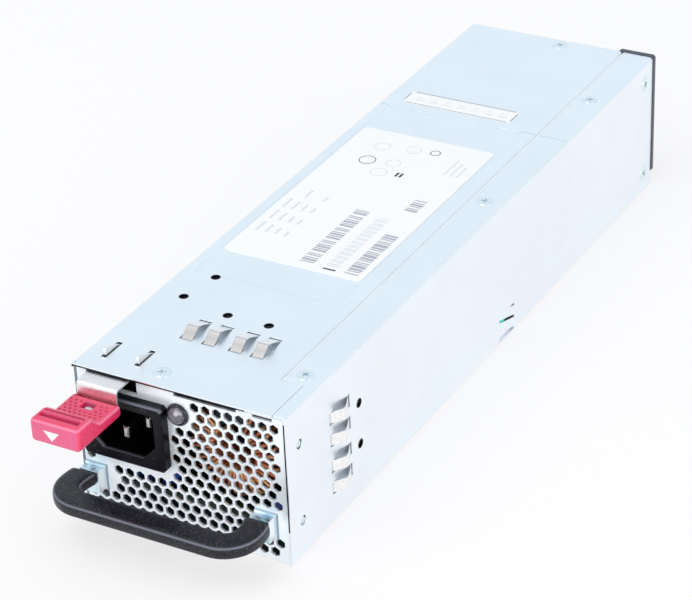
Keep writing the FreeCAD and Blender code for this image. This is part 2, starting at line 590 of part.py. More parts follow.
def pin(x, z, start, grow):
    w, h = PIN[0] / 2 + grow, PIN[1] / 2 + grow
    body = box(x - w, x + w, start, INLET_DEPTH + PIN_TAIL, z - h, z + h)
    return bevel(body, PIN_TIP, lambda e: e.BoundBox.YMax < start + 1e-6)


def inlet_pins():
    return Part.makeCompound([pin(*place, 0) for place in pin_places()])


def led_holder():
    y = V(0, 1, 0)
    ring = peg((LAMP_X, -LAMP_LIP, LAMP_Z), LAMP_RING_R, LAMP_LIP - FIT, y, 24)
    sleeve = peg((LAMP_X, -LAMP_LIP / 2, LAMP_Z), LAMP_R + LAMP_WALL, LAMP_LONG, y, 16)
    bore = peg((LAMP_X, -LAMP_LIP - 1, LAMP_Z), LAMP_R + FIT, LAMP_LONG + LAMP_LIP + 2, y, 16)
    return fuse([ring, sleeve]).cut(bore)


def led_lens():
    """Clear rod with a low dome."""
    rings = [corners(LAMP_R, 16, -LAMP_LONG)]
    for share, out in ((1.0, 0.0), (0.8, 0.38), (0.3, 0.6)):
        rings.append(corners(LAMP_R * share, 16, LAMP_R * out))
    lens = facets(rings)
    forward = FreeCAD.Rotation(V(0, 0, 1), V(0, -1, 0))
    lens.Placement = FreeCAD.Placement(V(LAMP_X, -LAMP_LIP, LAMP_Z), forward)
    return lens


def grip_outline(side):
    """Half outline from the root's outer corner to the middle, and back in."""
    y_root = -BOSS_DEPTH - FIT
    ri, ro = (GRIP_MID + side * r for r in GRIP_ROOT)
    oi, oo = (GRIP_MID + side * r for r in GRIP_REACH)
    co = V(oo - side * GRIP_CORNER, GRIP_FRONT + GRIP_CORNER, 0)
    ci = V(oi - side * GRIP_INNER_CORNER, GRIP_BACK + GRIP_INNER_CORNER, 0)
    diag = V(side, -1, 0).normalize()
    mid = GRIP_MID
    return [
        Part.LineSegment(V(ri, y_root, 0), V(ro, y_root, 0)).toShape(),
        Part.LineSegment(V(ro, y_root, 0), V(oo, co.y, 0)).toShape(),
        Part.Arc(V(oo, co.y, 0), co + diag * GRIP_CORNER, V(co.x, GRIP_FRONT, 0)).toShape(),
        Part.LineSegment(V(co.x, GRIP_FRONT, 0), V(mid, GRIP_FRONT, 0)).toShape(),
        Part.LineSegment(V(ri, y_root, 0), V(oi, ci.y, 0)).toShape(),
        Part.Arc(V(oi, ci.y, 0), ci + diag * GRIP_INNER_CORNER, V(ci.x, GRIP_BACK, 0)).toShape(),
        Part.LineSegment(V(ci.x, GRIP_BACK, 0), V(mid, GRIP_BACK, 0)).toShape()]


def handle_grip():
    """U grip: flat section, broad outer corners, tight inner ones."""
    wire = Part.Wire(Part.__sortEdges__(grip_outline(-1) + grip_outline(1)))
    body = Part.Face(wire).extrude(V(0, 0, GRIP_Z[1] - GRIP_Z[0]))
    body.translate(V(0, 0, GRIP_Z[0]))
    body = body.removeSplitter()

    def outer(e):
        bounds = e.BoundBox
        flat = bounds.ZLength < 1e-6 and bounds.YMin < -BOSS_DEPTH - 1
        far = abs((bounds.XMin + bounds.XMax) / 2 - GRIP_MID) > GRIP_REACH[0] + 1
        return flat and (far or bounds.YMin < GRIP_BACK - 1)

    body = bevel(body, GRIP_SOFT, outer)
    holes = []
    for a, b in BOSSES:
        tip = ((a + b) / 2, -BOSS_DEPTH - GRIP_SCREW - 1, GRIP_SCREW_Z)
        holes.append(peg(tip, SCREW_R + FIT, GRIP_SCREW + 2, V(0, 1, 0)))
    return body.cut(holes)


def handle_screws():
    """Pan heads inside the bosses, shanks through into the grip."""
    z = GRIP_SCREW_Z
    y = SHEET - BOSS_DEPTH
    screws = []
    for a, b in BOSSES:
        x = (a + b) / 2
        shank = peg((x, y - SHEET - GRIP_SCREW, z), SCREW_R, SHEET + GRIP_SCREW + FIT, V(0, 1, 0))
        head = peg((x, y + FIT, z), PAN_R, PAN_H, V(0, 1, 0))
        screws.append(fuse([head, shank]))
    return Part.makeCompound(screws)


def emi_top():
    strip = finger_strip()
    strip.translate(V(TOP_FINGERS_X, 0, HEIGHT))
    return strip


def emi_side():
    strip = on_wall(finger_strip())
    strip.translate(V(WIDTH, 0, WALL_FINGERS_Z))
    return strip


# ---------------------------------------------------------------- latch

def latch_anchor():
    """Rear land of the spring strip, welded under the cover."""
    top = UNDER - FIT
    body = box(*LEAF_X, HINGE_Y, HINGE_Y + ANCHOR_LONG, top - LEAF_T, top)
    return body.cut([peg((x, y, top - 2), SMALL_HOLE_R, 4, V(0, 0, 1)) for x, y in ANCHOR_HOLES])


def latch_strip():
    """Leaf, two bent-up teeth, bent leg and the foot under the tab."""
    x0, x1 = LEAF_X
    low = LEAF_TOP - LEAF_T
    foot = FOOT_Z - LEAF_T
    inner = LEG_Y + LEAF_T
    section = [(HINGE_Y - HINGE_GAP, low), (HINGE_Y - HINGE_GAP, LEAF_TOP), (LEG_Y, LEAF_TOP),
               (LEG_Y, FOOT_Z), (FOOT_Y, FOOT_Z), (FOOT_Y, foot), (inner, foot), (inner, low)]
    body = plate(section, "yz", x0, x1 - x0)
    body = soften(body, LEAF_BEND, lambda e: runs(e, "x") and e.BoundBox.YMax < LEG_Y + 1e-6
                  and e.BoundBox.ZMin > LEAF_TOP - 1e-6)
    body = soften(body, LEAF_BEND - LEAF_T, lambda e: runs(e, "x") and abs(e.BoundBox.YMax - inner) < 1e-6
                  and e.BoundBox.ZMin > low - 1e-6)
    y0, y1 = TOOTH_Y
    top = HEIGHT + TOOTH_H
    tooth = [(y0, low + FIT), (y0, top - TOOTH_T / 3), (y0 + TOOTH_T / 3, top), (y0 + TOOTH_T, top),
             (y1, HEIGHT - TOOTH_T / 3), (y1, low + FIT)]
    return fuse([body] + [plate(tooth, "yz", x, TOOTH_T) for x in TEETH_X])


def latch_tab():
    """Release tab: flat pad, raised ribbed nose, pocket for the foot."""
    x0, x1 = TAB_X
    y0, y1 = TAB_Y
    z0, pad, top = TAB_Z, TAB_PAD, TAB_HUMP
    heel, corner, slope = TAB_EDGE
    rise = NOSE_RISE
    nose = zip(NOSE_RUN, (pad, pad + rise[0], top - rise[1], top, top, top - rise[2], top - rise[3]))
    side = [(y1, z0 + heel), (y1, pad - corner), (y1 - slope, pad)]
    side += [(y0 + run, z) for run, z in nose]
    side += [(y0, z0 + rise[4]), (y0 + NOSE_RUN[7], z0), (y1 - heel, z0)]
    body = plate(side, "yz", x0, x1 - x0)
    body = bevel(body, TAB_SOFT, side_rim)
    foot = (FOOT_Z - LEAF_T - FIT, FOOT_Z + FIT)
    pocket = box(LEAF_X[0] - FIT, LEAF_X[1] + FIT, FOOT_Y - FIT, y1 + 1, *foot)
    leg = box(LEAF_X[0] - FIT, LEAF_X[1] + FIT, LEG_Y - FIT, y1 + 1, foot[0], top)
    x = (x0 + x1) / 2
    hatch = box(x - HATCH[0] / 2, x + HATCH[0] / 2, HATCH_Y - HATCH[1] / 2, HATCH_Y + HATCH[1] / 2,
                FOOT_Z - FIT, pad + 1)
    grooves = [box(x0 + RIB_SIDE, x1 - RIB_SIDE, y0 + start, y0 + start + width, top - deep, top + 1)
               for start, width, deep in RIBS]
    under = peg((x, HATCH_Y, z0 - 1), STAKE_R + FIT, FOOT_Z - z0 + 1, V(0, 0, 1))
    return body.cut([pocket, leg, hatch, under] + grooves)


def side_rim(edge):
    b = edge.BoundBox
    return b.XLength < 1e-6 and b.ZMax > TAB_PAD - 1e-6 and b.YMax < FOOT_Y - 1


def latch_stake():
    """Round stake through the foot: button above, shank below."""
    x = sum(TAB_X) / 2
    up = V(0, 0, 1)
    low = TAB_Z + STAKE_SINK
    button = peg((x, HATCH_Y, FOOT_Z), STAKE_R, STAKE_TOP, up)
    return Part.makeCompound([button, peg((x, HATCH_Y, low), STAKE_R, FOOT_Z - LEAF_T - low, up)])


# ---------------------------------------------------------------- rear

def connector_shroud():
    x0, x1, z0, z1 = SHROUD
    bezel = box(x0, x1, LENGTH + FIT, LENGTH + SHROUD_OUT, z0, z1)
    bezel = bevel(bezel, SHROUD_R, lambda e: runs(e, "y"))
    a0, a1, b0, b1 = SHROUD_BODY
    core = box(a0, a1, SHROUD_Y, LENGTH + SHROUD_OUT / 2, b0, b1)
    m0, m1, n0, n1 = SHROUD_MOUTH
    mouth = box(m0, m1, SHROUD_Y + MOUTH_FLOOR, LENGTH + SHROUD_OUT + 1, n0, n1)
    slot = box(TONGUE_X - FIT, TONGUE_X + BOARD_T + FIT, SHROUD_Y - 1, LENGTH,
               TONGUE_Z[0] - FIT, TONGUE_Z[1] + FIT)
    return fuse([bezel, core]).cut([mouth, slot])


def edge_board():
    """Upright board whose rear edge is the plug tongue."""
    x0, x1 = TONGUE_X, TONGUE_X + BOARD_T
    end = SHROUD_Y - ROOT_GAP
    root = box(x0, x1, end - TONGUE_ROOT, end, BOARD_TOP, TONGUE_Z[1] + ROOT_TOP)
    tongue = box(x0, x1, end - ROOT_GAP, TONGUE_END, *TONGUE_Z)
    return fuse([root, tongue])


def edge_contacts():
    strips = []
    rim, start, stop = CONTACT_RIM
    z = TONGUE_Z[0] + rim
    while z + CONTACT_W < TONGUE_Z[1]:
        for x in (TONGUE_X - CONTACT_T, TONGUE_X + BOARD_T):
            strips.append(box(x, x + CONTACT_T, SHROUD_Y + start, TONGUE_END - stop, z, z + CONTACT_W))
        z += CONTACT_PITCH
    return Part.makeCompound(strips)


def fan_frame():
    y0, y1 = FAN_Y
    half = FAN_SIZE / 2
    y = V(0, 1, 0)
    body = box(FAN_X - half, FAN_X + half, y0, y1, FAN_Z - half, FAN_Z + half)
    body = bevel(body, FAN_CHAMFER, lambda e: runs(e, "y"))
    body = body.cut(peg((FAN_X, y0 - 1, FAN_Z), FAN_BORE, y1 - y0 + 2, y, 24))
    rear = y1 - MOTOR_GAP
    struts = []
    for angle in (30, 150, 270):
        strut = box(0, FAN_BORE + FAN_WALL / 2, rear - STRUT_T, rear, -STRUT_W / 2, STRUT_W / 2)
        strut.rotate(V(0, 0, 0), y, angle)
        strut.translate(V(FAN_X, 0, FAN_Z))
        struts.append(strut)
    start = ROTOR_Y[1] + MOTOR_GAP
    motor = peg((FAN_X, start, FAN_Z), HUB_R, rear - start, y, 16)
    return fuse([body, motor] + struts).cut(rod((FAN_X, ROTOR_Y[1], FAN_Z), SHAFT_R + RUN, SHAFT_LONG, y))


def blade(angle):
    """Blade set at a pitch, wider at the tip, rooted in the hub."""
    root, tip = (w / 2 for w in BLADE_W)
    low, high = HUB_R - BLADE_T, BLADE_TIP - BLADE_T
    ring = [(-root, low), (root, low), (tip, high), (tip - BLADE_T, BLADE_TIP),
            (BLADE_T - tip, BLADE_TIP), (-tip, high)]
    body = plate(ring, "xz", -BLADE_T / 2, BLADE_T)
    body.rotate(V(0, 0, 0), V(0, 0, 1), BLADE_PITCH)
    body.rotate(V(0, 0, 0), V(0, 1, 0), angle)
    body.translate(V(0, sum(ROTOR_Y) / 2, 0))
    return body


def fan_rotor():
    y0, y1 = ROTOR_Y
    y = V(0, 1, 0)
    hub = peg((0, y0, 0), HUB_R, y1 - y0, y, 20)
    shaft = rod((0, y1 - MOTOR_GAP, 0), SHAFT_R, SHAFT_LONG + MOTOR_GAP / 2, y)
    body = fuse([hub, shaft] + [blade(360.0 * k / BLADES) for k in range(BLADES)])
    body.translate(V(FAN_X, 0, FAN_Z))
    return body


# ---------------------------------------------------------------- inside

def main_board():
    return box(*BOARD, BOARD_Z, BOARD_TOP)


def standoffs():
    return Part.makeCompound([peg((x, y, SHEET), POST_R, BOARD_Z - SHEET, V(0, 0, 1), 6) for x, y in POSTS])


def insulator():
    body = box(FILM_SIDE, WIDTH - FILM_SIDE, FILM_START, LENGTH - FILM_BACK, SHEET, SHEET + FILM_T)
    r = POST_R + FILM_HOLE
    return body.cut([box(x - r, x + r, y - r, y + r, 0, 2 * SHEET) for x, y in POSTS])


def choke_core(x, z, y0, outer, inner, depth):
    """Ring core on its edge."""
    y = V(0, 1, 0)
    return peg((x, y0, z), outer, depth, y, 24).cut(peg((x, y0 - 1, z), inner, depth + 2, y, 20))


def choke_winding(x, z, y0, outer, inner, depth, turns):
    """Separate turns round the ring and two leads down to the board."""
    y = V(0, 1, 0)
    gap = 2 * FIT
    loops = []
    for k in range(turns):
        loop = box(inner - WIRE, outer + WIRE, y0 - WIRE, y0 + depth + WIRE, -TURN_W / 2, TURN_W / 2)
        loop = loop.cut(box(inner * math.cos(math.pi / 20) - gap, outer + gap, y0 - gap, y0 + depth + gap,
                            -TURN_W, TURN_W))
        loop.rotate(V(0, 0, 0), y, 360.0 * k / turns)
        loop.translate(V(x, 0, z))
        loops.append(loop)
    for dx in (-LEAD_X, LEAD_X):
        foot = (x + dx, y0 + depth / 2, BOARD_TOP)
        loops.append(peg(foot, LEAD_R, z - outer + COIL_RISE - BOARD_TOP, V(0, 0, 1), 6))
    return fuse(loops)


def bulk_capacitors():
    height = UNDER - CAN_HEADROOM - BOARD_TOP
    cans = []
    for y in CAN_Y:
        can = peg((CAN_X, y, BOARD_TOP), CAN_R, height, V(0, 0, 1), 20)
        cans.append(bevel(can, CAN_EDGE, lambda e: e.BoundBox.ZMin > BOARD_TOP + height - 1e-6))
    return Part.makeCompound(cans)


def line_capacitors():
    """Discs standing on two legs each, just behind the panel."""
    discs = []
    middle = DISC_Y + DISC_T / 2
    z = BOARD_TOP + DISC_RISE
    for x in (*DISC_X, WIDTH - DISC_IN):
        disc = peg((x, DISC_Y, z), DISC_R, DISC_T, V(0, 1, 0), 16)
        legs = [box(x + dx - WIRE / 4, x + dx + WIRE / 4, middle - WIRE / 4, middle + WIRE / 4, BOARD_TOP, z)
                for dx in (-DISC_LEG, DISC_LEG)]
        discs.append(fuse([disc] + legs))
    return Part.makeCompound(discs)


def transformer_core():
    x0, x1, y0, y1 = TRANSFORMER
    z0, z1 = BOARD_TOP + CORE_Z, BOARD_TOP + CORE_Z + CORE_H
    body = box(x0, x1, y0 + CORE_SET, y1 - CORE_SET, z0, z1)
    return body.cut(box(x0 + LIMB, x1 - LIMB, y0, y1, z0 + LIMB, z1 - LIMB))


def transformer_coil():
    """Coil former in the core's window, on two feet."""
    x0, x1, y0, y1 = TRANSFORMER
    x0, x1 = x0 + LIMB + COIL_GAP, x1 - LIMB - COIL_GAP
    z0 = BOARD_TOP + CORE_Z + LIMB + COIL_GAP
    z1 = BOARD_TOP + CORE_Z + CORE_H - LIMB - COIL_GAP
    coil = bevel(box(x0, x1, y0, y1, z0, z1), LIMB / 3, lambda e: runs(e, "y"))
    feet = [box(x0, x1, a, a + LIMB, BOARD_TOP, z0 + CORE_Z) for a in (y0, y1 - LIMB)]
    return fuse([coil] + feet)


def heat_sinks():
    sinks = []
    x0, x1 = SINK_X
    for y0, y1 in SINKS_Y:
        mid = (y0 + y1) / 2
        parts = [box(x0, x1, mid - SINK_STEM / 2, mid + SINK_STEM / 2, BOARD_TOP, BOARD_TOP + SINK_TOP)]
        x = x0
        while x + FIN_T <= x1:
            parts.append(box(x, x + FIN_T, y0, y1, BOARD_TOP + SINK_FOOT, BOARD_TOP + SINK_TOP))
            x += FIN_PITCH
        sinks.append(fuse(parts))
    return Part.makeCompound(sinks)


def save(name, shape):
    shape.translate(CENTRE)
    shape.exportStep("parts/" + name + ".step")


FILTER = (INLET[1] - INLET_WALL + FILTER_GAP + WIRE + FILTER_R, BOARD_TOP + COIL_RISE + WIRE + FILTER_R,
          FILTER_Y, FILTER_R, FILTER_BORE, FILTER_LONG)
BOOST = ((CAN_X + CAN_R + WIDTH - SHEET) / 2, BOARD_TOP + BOOST_RISE + WIRE + BOOST_R,
         BOOST_Y, BOOST_R, BOOST_BORE, BOOST_LONG)

PIECES = {
    "cover": cover(),
    "chassis": chassis(),
    "front_panel": front_panel(),
    "rear_panel": rear_panel(),
    "cover_screws": cover_screws(),
    "wall_screws": wall_screws(),
    "wall_rivets": wall_rivets(),
    "top_label": sticker(TOP_LABEL, HEIGHT - PAD_DEPTH),
    "rear_label": sticker(REAR_LABEL, HEIGHT),
    "inlet_housing": inlet_housing(),
    "inlet_pins": inlet_pins(),
    "led_holder": led_holder(),
    "led_lens": led_lens(),
    "handle_grip": handle_grip(),
    "handle_screws": handle_screws(),
    "emi_top": emi_top(),
    "emi_side": emi_side(),
    "latch_anchor": latch_anchor(),
    "latch_strip": latch_strip(),
    "latch_tab": latch_tab(),
    "latch_stake": latch_stake(),
    "connector_shroud": connector_shroud(),
    "edge_board": edge_board(),
    "edge_contacts": edge_contacts(),
    "fan_frame": fan_frame(),
    "fan_rotor": fan_rotor(),
    "main_board": main_board(),
    "standoffs": standoffs(),
    "insulator": insulator(),
    "filter_core": choke_core(*FILTER),
    "filter_winding": choke_winding(*FILTER, 14),
    "boost_core": choke_core(*BOOST),
    "boost_winding": choke_winding(*BOOST, 10),
    "line_capacitors": line_capacitors(),
    "bulk_capacitors": bulk_capacitors(),
    "transformer_core": transformer_core(),
    "transformer_coil": transformer_coil(),
    "heat_sinks": heat_sinks(),
}

for piece_name, piece in PIECES.items():
    save(piece_name, piece)
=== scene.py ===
import math

import bmesh
import bpy
from mathutils import Matrix, Vector

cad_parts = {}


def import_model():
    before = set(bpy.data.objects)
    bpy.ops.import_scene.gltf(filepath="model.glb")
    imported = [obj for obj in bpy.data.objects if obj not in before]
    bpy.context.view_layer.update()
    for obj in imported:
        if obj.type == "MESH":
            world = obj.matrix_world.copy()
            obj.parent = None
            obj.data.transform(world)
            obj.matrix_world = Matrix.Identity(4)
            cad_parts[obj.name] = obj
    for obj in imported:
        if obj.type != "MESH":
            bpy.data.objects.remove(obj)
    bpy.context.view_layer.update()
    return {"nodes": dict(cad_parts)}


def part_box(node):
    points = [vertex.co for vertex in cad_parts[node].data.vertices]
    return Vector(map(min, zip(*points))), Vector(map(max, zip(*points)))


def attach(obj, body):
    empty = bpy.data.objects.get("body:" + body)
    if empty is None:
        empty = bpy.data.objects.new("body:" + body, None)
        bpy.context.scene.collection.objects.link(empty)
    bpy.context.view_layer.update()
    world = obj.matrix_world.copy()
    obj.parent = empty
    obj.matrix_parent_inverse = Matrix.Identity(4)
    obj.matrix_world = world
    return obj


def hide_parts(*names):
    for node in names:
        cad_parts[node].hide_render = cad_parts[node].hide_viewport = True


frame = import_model()
NODES = frame["nodes"]

MM = 0.001
X, Y, Z = Vector((1, 0, 0)), Vector((0, 1, 0)), Vector((0, 0, 1))
# The casing reaches as far left and forward as its chassis reaches right and back.
HALF_WIDTH, HALF_LENGTH, HEIGHT = (round(v / MM, 3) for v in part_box("chassis")[1])


# ---------------------------------------------------------------- materials

class Graph:
    """A node material built step by step."""

    def __init__(self, name):
        self.mat = bpy.data.materials.new(name)
        self.mat.use_nodes = True
        self.tree = self.mat.node_tree
        self.tree.nodes.clear()
        self.out = self.add("ShaderNodeOutputMaterial")
        self.bsdf = self.add("ShaderNodeBsdfPrincipled")
        self.link(self.bsdf.outputs[0], self.out.inputs[0])
        self.where = self.add("ShaderNodeTexCoord").outputs["Object"]

    def add(self, kind, **values):
        node = self.tree.nodes.new(kind)
        for key, value in values.items():
            setattr(node, key, value)
        return node

    def link(self, a, b):
        self.tree.links.new(a, b)

    def put(self, node, key, value):
        """Fill a socket from a number, a colour or another node's output."""
        socket = node.inputs[key]
        if isinstance(value, bpy.types.NodeSocket):
            self.link(value, socket)
        elif isinstance(value, tuple) and len(value) == 3 and socket.type == "RGBA":
            socket.default_value = (*value, 1)
        else:
            socket.default_value = value

    def set(self, **values):
        """Fill the shader's own sockets, named with _ for a space."""
        for key, value in values.items():
            self.put(self.bsdf, key.replace("_", " "), value)

    def scaled(self, vector, xyz):
        node = self.add("ShaderNodeVectorMath", operation="MULTIPLY")
        self.put(node, 0, vector)
        node.inputs[1].default_value = xyz
        return node.outputs[0]

    def noise(self, scale, detail, rough, stretch=None):
        node = self.add("ShaderNodeTexNoise")
        self.put(node, "Vector", self.scaled(self.where, stretch) if stretch else self.where)
        self.put(node, "Scale", scale)
        self.put(node, "Detail", detail)
        self.put(node, "Roughness", rough)
        return node.outputs[0]

    def cells(self, scale, feature="F1"):
        node = self.add("ShaderNodeTexVoronoi", feature=feature)
        self.put(node, "Vector", self.where)
        self.put(node, "Scale", scale)
        return node.outputs["Distance"]

    def span(self, value, a, b, c=0, d=1):
        """Map a..b to c..d, clamped."""
        node = self.add("ShaderNodeMapRange")
        self.put(node, "Value", value)
        for key, v in (("From Min", a), ("From Max", b), ("To Min", c), ("To Max", d)):
            node.inputs[key].default_value = v
        return node.outputs[0]

    def math(self, op, a, b):
        node = self.add("ShaderNodeMath", operation=op)
        self.put(node, 0, a)
        self.put(node, 1, b)
        return node.outputs[0]

    def both(self, a, b):
        """1 where two masks are 1."""
        return self.math("MULTIPLY", a, b)

    def mix(self, factor, a, b):
        node = self.add("ShaderNodeMix", data_type="RGBA")
        self.put(node, 0, factor)
        for k, value in ((6, a), (7, b)):
            self.put(node, k, value)
        return node.outputs[2]

    def split(self, vector, k):
        """One coordinate of a vector."""
        node = self.add("ShaderNodeSeparateXYZ")
        self.put(node, 0, vector)
        return node.outputs[k]

    def axis(self, k):
        """Place along one axis of the frame, in metres."""
        return self.split(self.where, k)

    def facing(self, k):
        """How far a surface faces along one axis, -1 to 1."""
        return self.split(self.add("ShaderNodeNewGeometry").outputs["Normal"], k)

    def shoulder_highlight(self):
        """1 on the roundings between upright and upward faces, where painted highlights go."""
        up = self.facing(2)
        return self.both(self.span(up, 0.30, 0.55), self.span(up, 0.70, 0.92, 1, 0))

    def band(self, k, low, high):
        """1 where a coordinate lies between two values in mm."""
        place = self.axis(k)
        rise = self.math("GREATER_THAN", place, low * MM)
        return self.both(rise, self.math("LESS_THAN", place, high * MM))

    def patch(self, first, second):
        """1 where two bands cross."""
        return self.both(self.band(*first), self.band(*second))

    def bump(self, height, strength, distance, under=None):
        """Relief from a noise, over a rounded normal where one is given."""
        node = self.add("ShaderNodeBump")
        self.put(node, "Height", height)
        self.put(node, "Strength", strength)
        self.put(node, "Distance", distance)
        if under is not None:
            self.put(node, "Normal", under)
        return node.outputs[0]

    def rounded(self, radius):
        """Normal that softens sharp edges."""
        node = self.add("ShaderNodeBevel", samples=6)
        node.inputs["Radius"].default_value = radius
        return node.outputs[0]

    def vary_roughness(self, grain, low, high):
        """Make the roughness follow a noise."""
        self.set(Roughness=self.span(grain, 0.3, 0.7, low, high))

    def normal(self, vector):
        """Link the last socket and hand the material over."""
        self.link(vector, self.bsdf.inputs["Normal"])
        return self.mat


def toned(color, share):
    """A colour made darker or lighter, up to full strength."""
    return tuple(min(1, c * share) for c in color)


# Where painted shade goes on the sheets' cut edges, the left wall's front edge and a step in the top, as
# pairs of bands: (axis, from, to) in mm.
TOP_CUT_SHADE = (2, HEIGHT - 1.7, HEIGHT - 0.4), (0, -37.5, 24.5)
WALL_CUT_SHADE = (0, HALF_WIDTH - 1.8, HALF_WIDTH - 0.4), (2, 12.5, 51.5)
LEFT_EDGE_SHADE = (1, -HALF_LENGTH - 0.5, 0.02 - HALF_LENGTH), (0, -HALF_WIDTH - 0.5, 1.2 - HALF_WIDTH)
TOP_STEP_SHADE = (2, HEIGHT - 0.5, HEIGHT + 0.5), (1, 60.6, 61.4)


def zinc(name, color=(0.885, 0.94, 0.985), rough=0.34, cut=False):
    """Passivated zinc plate: pale, faintly blue, soft mottling and fine rolling lines; with cut, painted
    shade on its cut edges and a step.
    """
    g = Graph(name)
    cloud = g.noise(38, 4, 0.6)
    face = g.mix(g.span(cloud, 0.35, 0.68), toned(color, 0.98), toned(color, 1.015))
    if cut:
        # Painted shade: the cut edges of the top plate and the right wall are painted near black.
        edges = g.math("MAXIMUM", g.patch(*TOP_CUT_SHADE), g.patch(*WALL_CUT_SHADE))
        face = g.mix(edges, face, (0.03, 0.032, 0.036))
        # Painted shade: the left wall's front edge is painted dark blue-grey.
        face = g.mix(g.patch(*LEFT_EDGE_SHADE), face, (0.20, 0.27, 0.32))
        # Painted shade: the step in the top is painted greyer than the sheet.
        face = g.mix(g.patch(*TOP_STEP_SHADE), face, (0.74, 0.82, 0.88))
    g.set(Base_Color=face, Metallic=1.0)
    grain = g.noise(900, 2, 0.5, (1.0, 0.05, 1.0))
    g.vary_roughness(g.noise(60, 5, 0.6), rough - 0.03, rough + 0.04)
    return g.normal(g.bump(grain, 0.05, 0.00004, g.rounded(0.00035)))


def panel_zinc():
    """Front panel: bright sheet; its drawn bosses get a painted streaked dark reflection, their right sides
    a painted near-white highlight, and their roots a painted dark shade.
    """
    g = Graph("zinc_panel")
    cloud = g.noise(45, 4, 0.6)
    face = g.mix(g.span(cloud, 0.35, 0.68), (0.87, 0.935, 0.98), (0.93, 0.97, 1.0))
    sheet = -HALF_LENGTH * MM
    drawn = g.span(g.axis(1), sheet - 0.0003, sheet - 0.0001, 1, 0)
    # Painted reflection: the bosses' fronts and tops are painted a streaked dark blue.
    streak = g.span(g.noise(160, 3, 0.6, (1.0, 1.0, 0.25)), 0.38, 0.62)
    painted_reflection = g.mix(streak, (0.30, 0.46, 0.55), (0.72, 0.88, 0.95))
    # Painted highlight: the bosses' right sides are painted near white instead.
    side = g.both(drawn, g.span(g.facing(0), 0.6, 0.9))
    face = g.mix(side, g.mix(drawn, face, painted_reflection), (0.96, 0.985, 1.0))
    # Painted shade: a dark blue band just in front of the sheet, round the roots of the bosses.
    root = g.band(1, -HALF_LENGTH - 0.6, -HALF_LENGTH - 0.1)
    g.set(Base_Color=g.mix(root, face, (0.27, 0.37, 0.46)))
    g.set(Metallic=g.span(g.math("SUBTRACT", drawn, side), 0, 1, 0.45, 1))
    g.vary_roughness(g.noise(60, 5, 0.6), 0.24, 0.36)
    return g.normal(g.bump(g.noise(700, 2, 0.5), 0.05, 0.00004, g.rounded(0.0003)))


def steel(name, color, rough, line=(1.0, 0.06, 1.0)):
    """Bare or plated metal with a fine grain drawn out along one axis."""
    g = Graph(name)
    grain = g.noise(1400, 3, 0.6, line)
    g.set(Base_Color=g.mix(g.span(grain, 0.3, 0.7), toned(color, 0.86), color), Metallic=1.0)
    g.vary_roughness(grain, rough - 0.07, rough + 0.07)
    return g.normal(g.bump(grain, 0.12, 0.00003, g.rounded(0.0002)))


def finger_steel():
    """Spring steel whose lead-in ramps are painted darker than the crests, as shade."""
    g = Graph("finger_steel")
    grain = g.noise(1400, 3, 0.6, (1.0, 0.06, 1.0))
    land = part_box("emi_top")[0].y
    # Painted shade: the lead-in ramps are painted darker; the crests and what lies behind them stay pale.
    crest = g.span(g.axis(1), land + 0.0044, land + 0.0058)
    face = g.mix(crest, (0.46, 0.44, 0.435), (0.98, 0.96, 0.95))
    g.set(Base_Color=g.mix(g.span(grain, 0.3, 0.7, 0.16, 0), face, (0.2, 0.2, 0.2)), Metallic=1.0)
    g.vary_roughness(grain, 0.27, 0.40)
    return g.normal(g.bump(grain, 0.12, 0.00003, g.rounded(0.0002)))


def plastic(name, color, rough, grain=2200, depth=0.00004, edge=0.0003, vary=0.06):
    """Moulded plastic with a fine spark texture."""
    g = Graph(name)
    spark = g.noise(grain, 2, 0.5)
    tone = g.span(g.noise(90, 3, 0.5), 0.35, 0.65)
    g.set(Base_Color=g.mix(tone, toned(color, 1 - vary), toned(color, 1 + vary)))
    g.vary_roughness(spark, rough - 0.05, rough + 0.06)
    return g.normal(g.bump(spark, 0.25, depth, g.rounded(edge)))


def grip_plastic():
    """Charcoal moulding with pale specks and a painted pale highlight on its shoulders."""
    g = Graph("grip_plastic")
    tone = g.noise(160, 4, 0.6)
    base = g.mix(g.span(tone, 0.35, 0.7), (0.009, 0.009, 0.014), (0.016, 0.016, 0.023))
    # Painted highlight: the shoulders are painted a paler blue-grey.
    base = g.mix(g.shoulder_highlight(), base, (0.15, 0.155, 0.19))
    specks = g.both(g.span(g.cells(2600), 0.16, 0.34, 1, 0), g.span(g.noise(1200, 2, 0.4), 0.46, 0.56))
    g.set(Base_Color=g.mix(specks, base, (0.17, 0.16, 0.16)), Specular_IOR_Level=0.28)
    g.vary_roughness(g.noise(700, 3, 0.6), 0.26, 0.38)
    return g.normal(g.bump(g.noise(1500, 3, 0.6), 0.35, 0.00012, g.rounded(0.0003)))


def tab_plastic():
    """Satin crimson plastic, with a painted pale highlight on its rounded shoulders and a painted pale
    reflection on its front face.
    """
    g = Graph("release_plastic")
    tone = g.noise(90, 3, 0.5)
    base = g.mix(g.span(tone, 0.35, 0.65), (0.78, 0.026, 0.112), (0.82, 0.029, 0.120))
    # Painted reflection: faces turned to the front are painted paler and less red.
    base = g.mix(g.span(g.facing(1), -0.95, -0.6, 1, 0), base, (0.68, 0.075, 0.20))
    # Painted highlight: the shoulders are painted pale pink at a little over half strength.
    shoulder_highlight = g.math("MULTIPLY", g.shoulder_highlight(), 0.55)
    g.set(Base_Color=g.mix(shoulder_highlight, base, (0.98, 0.28, 0.44)), Specular_IOR_Level=0.9)
    spark = g.noise(1500, 2, 0.5)
    g.vary_roughness(spark, 0.25, 0.36)
    return g.normal(g.bump(spark, 0.02, 0.00002, g.rounded(0.0006)))


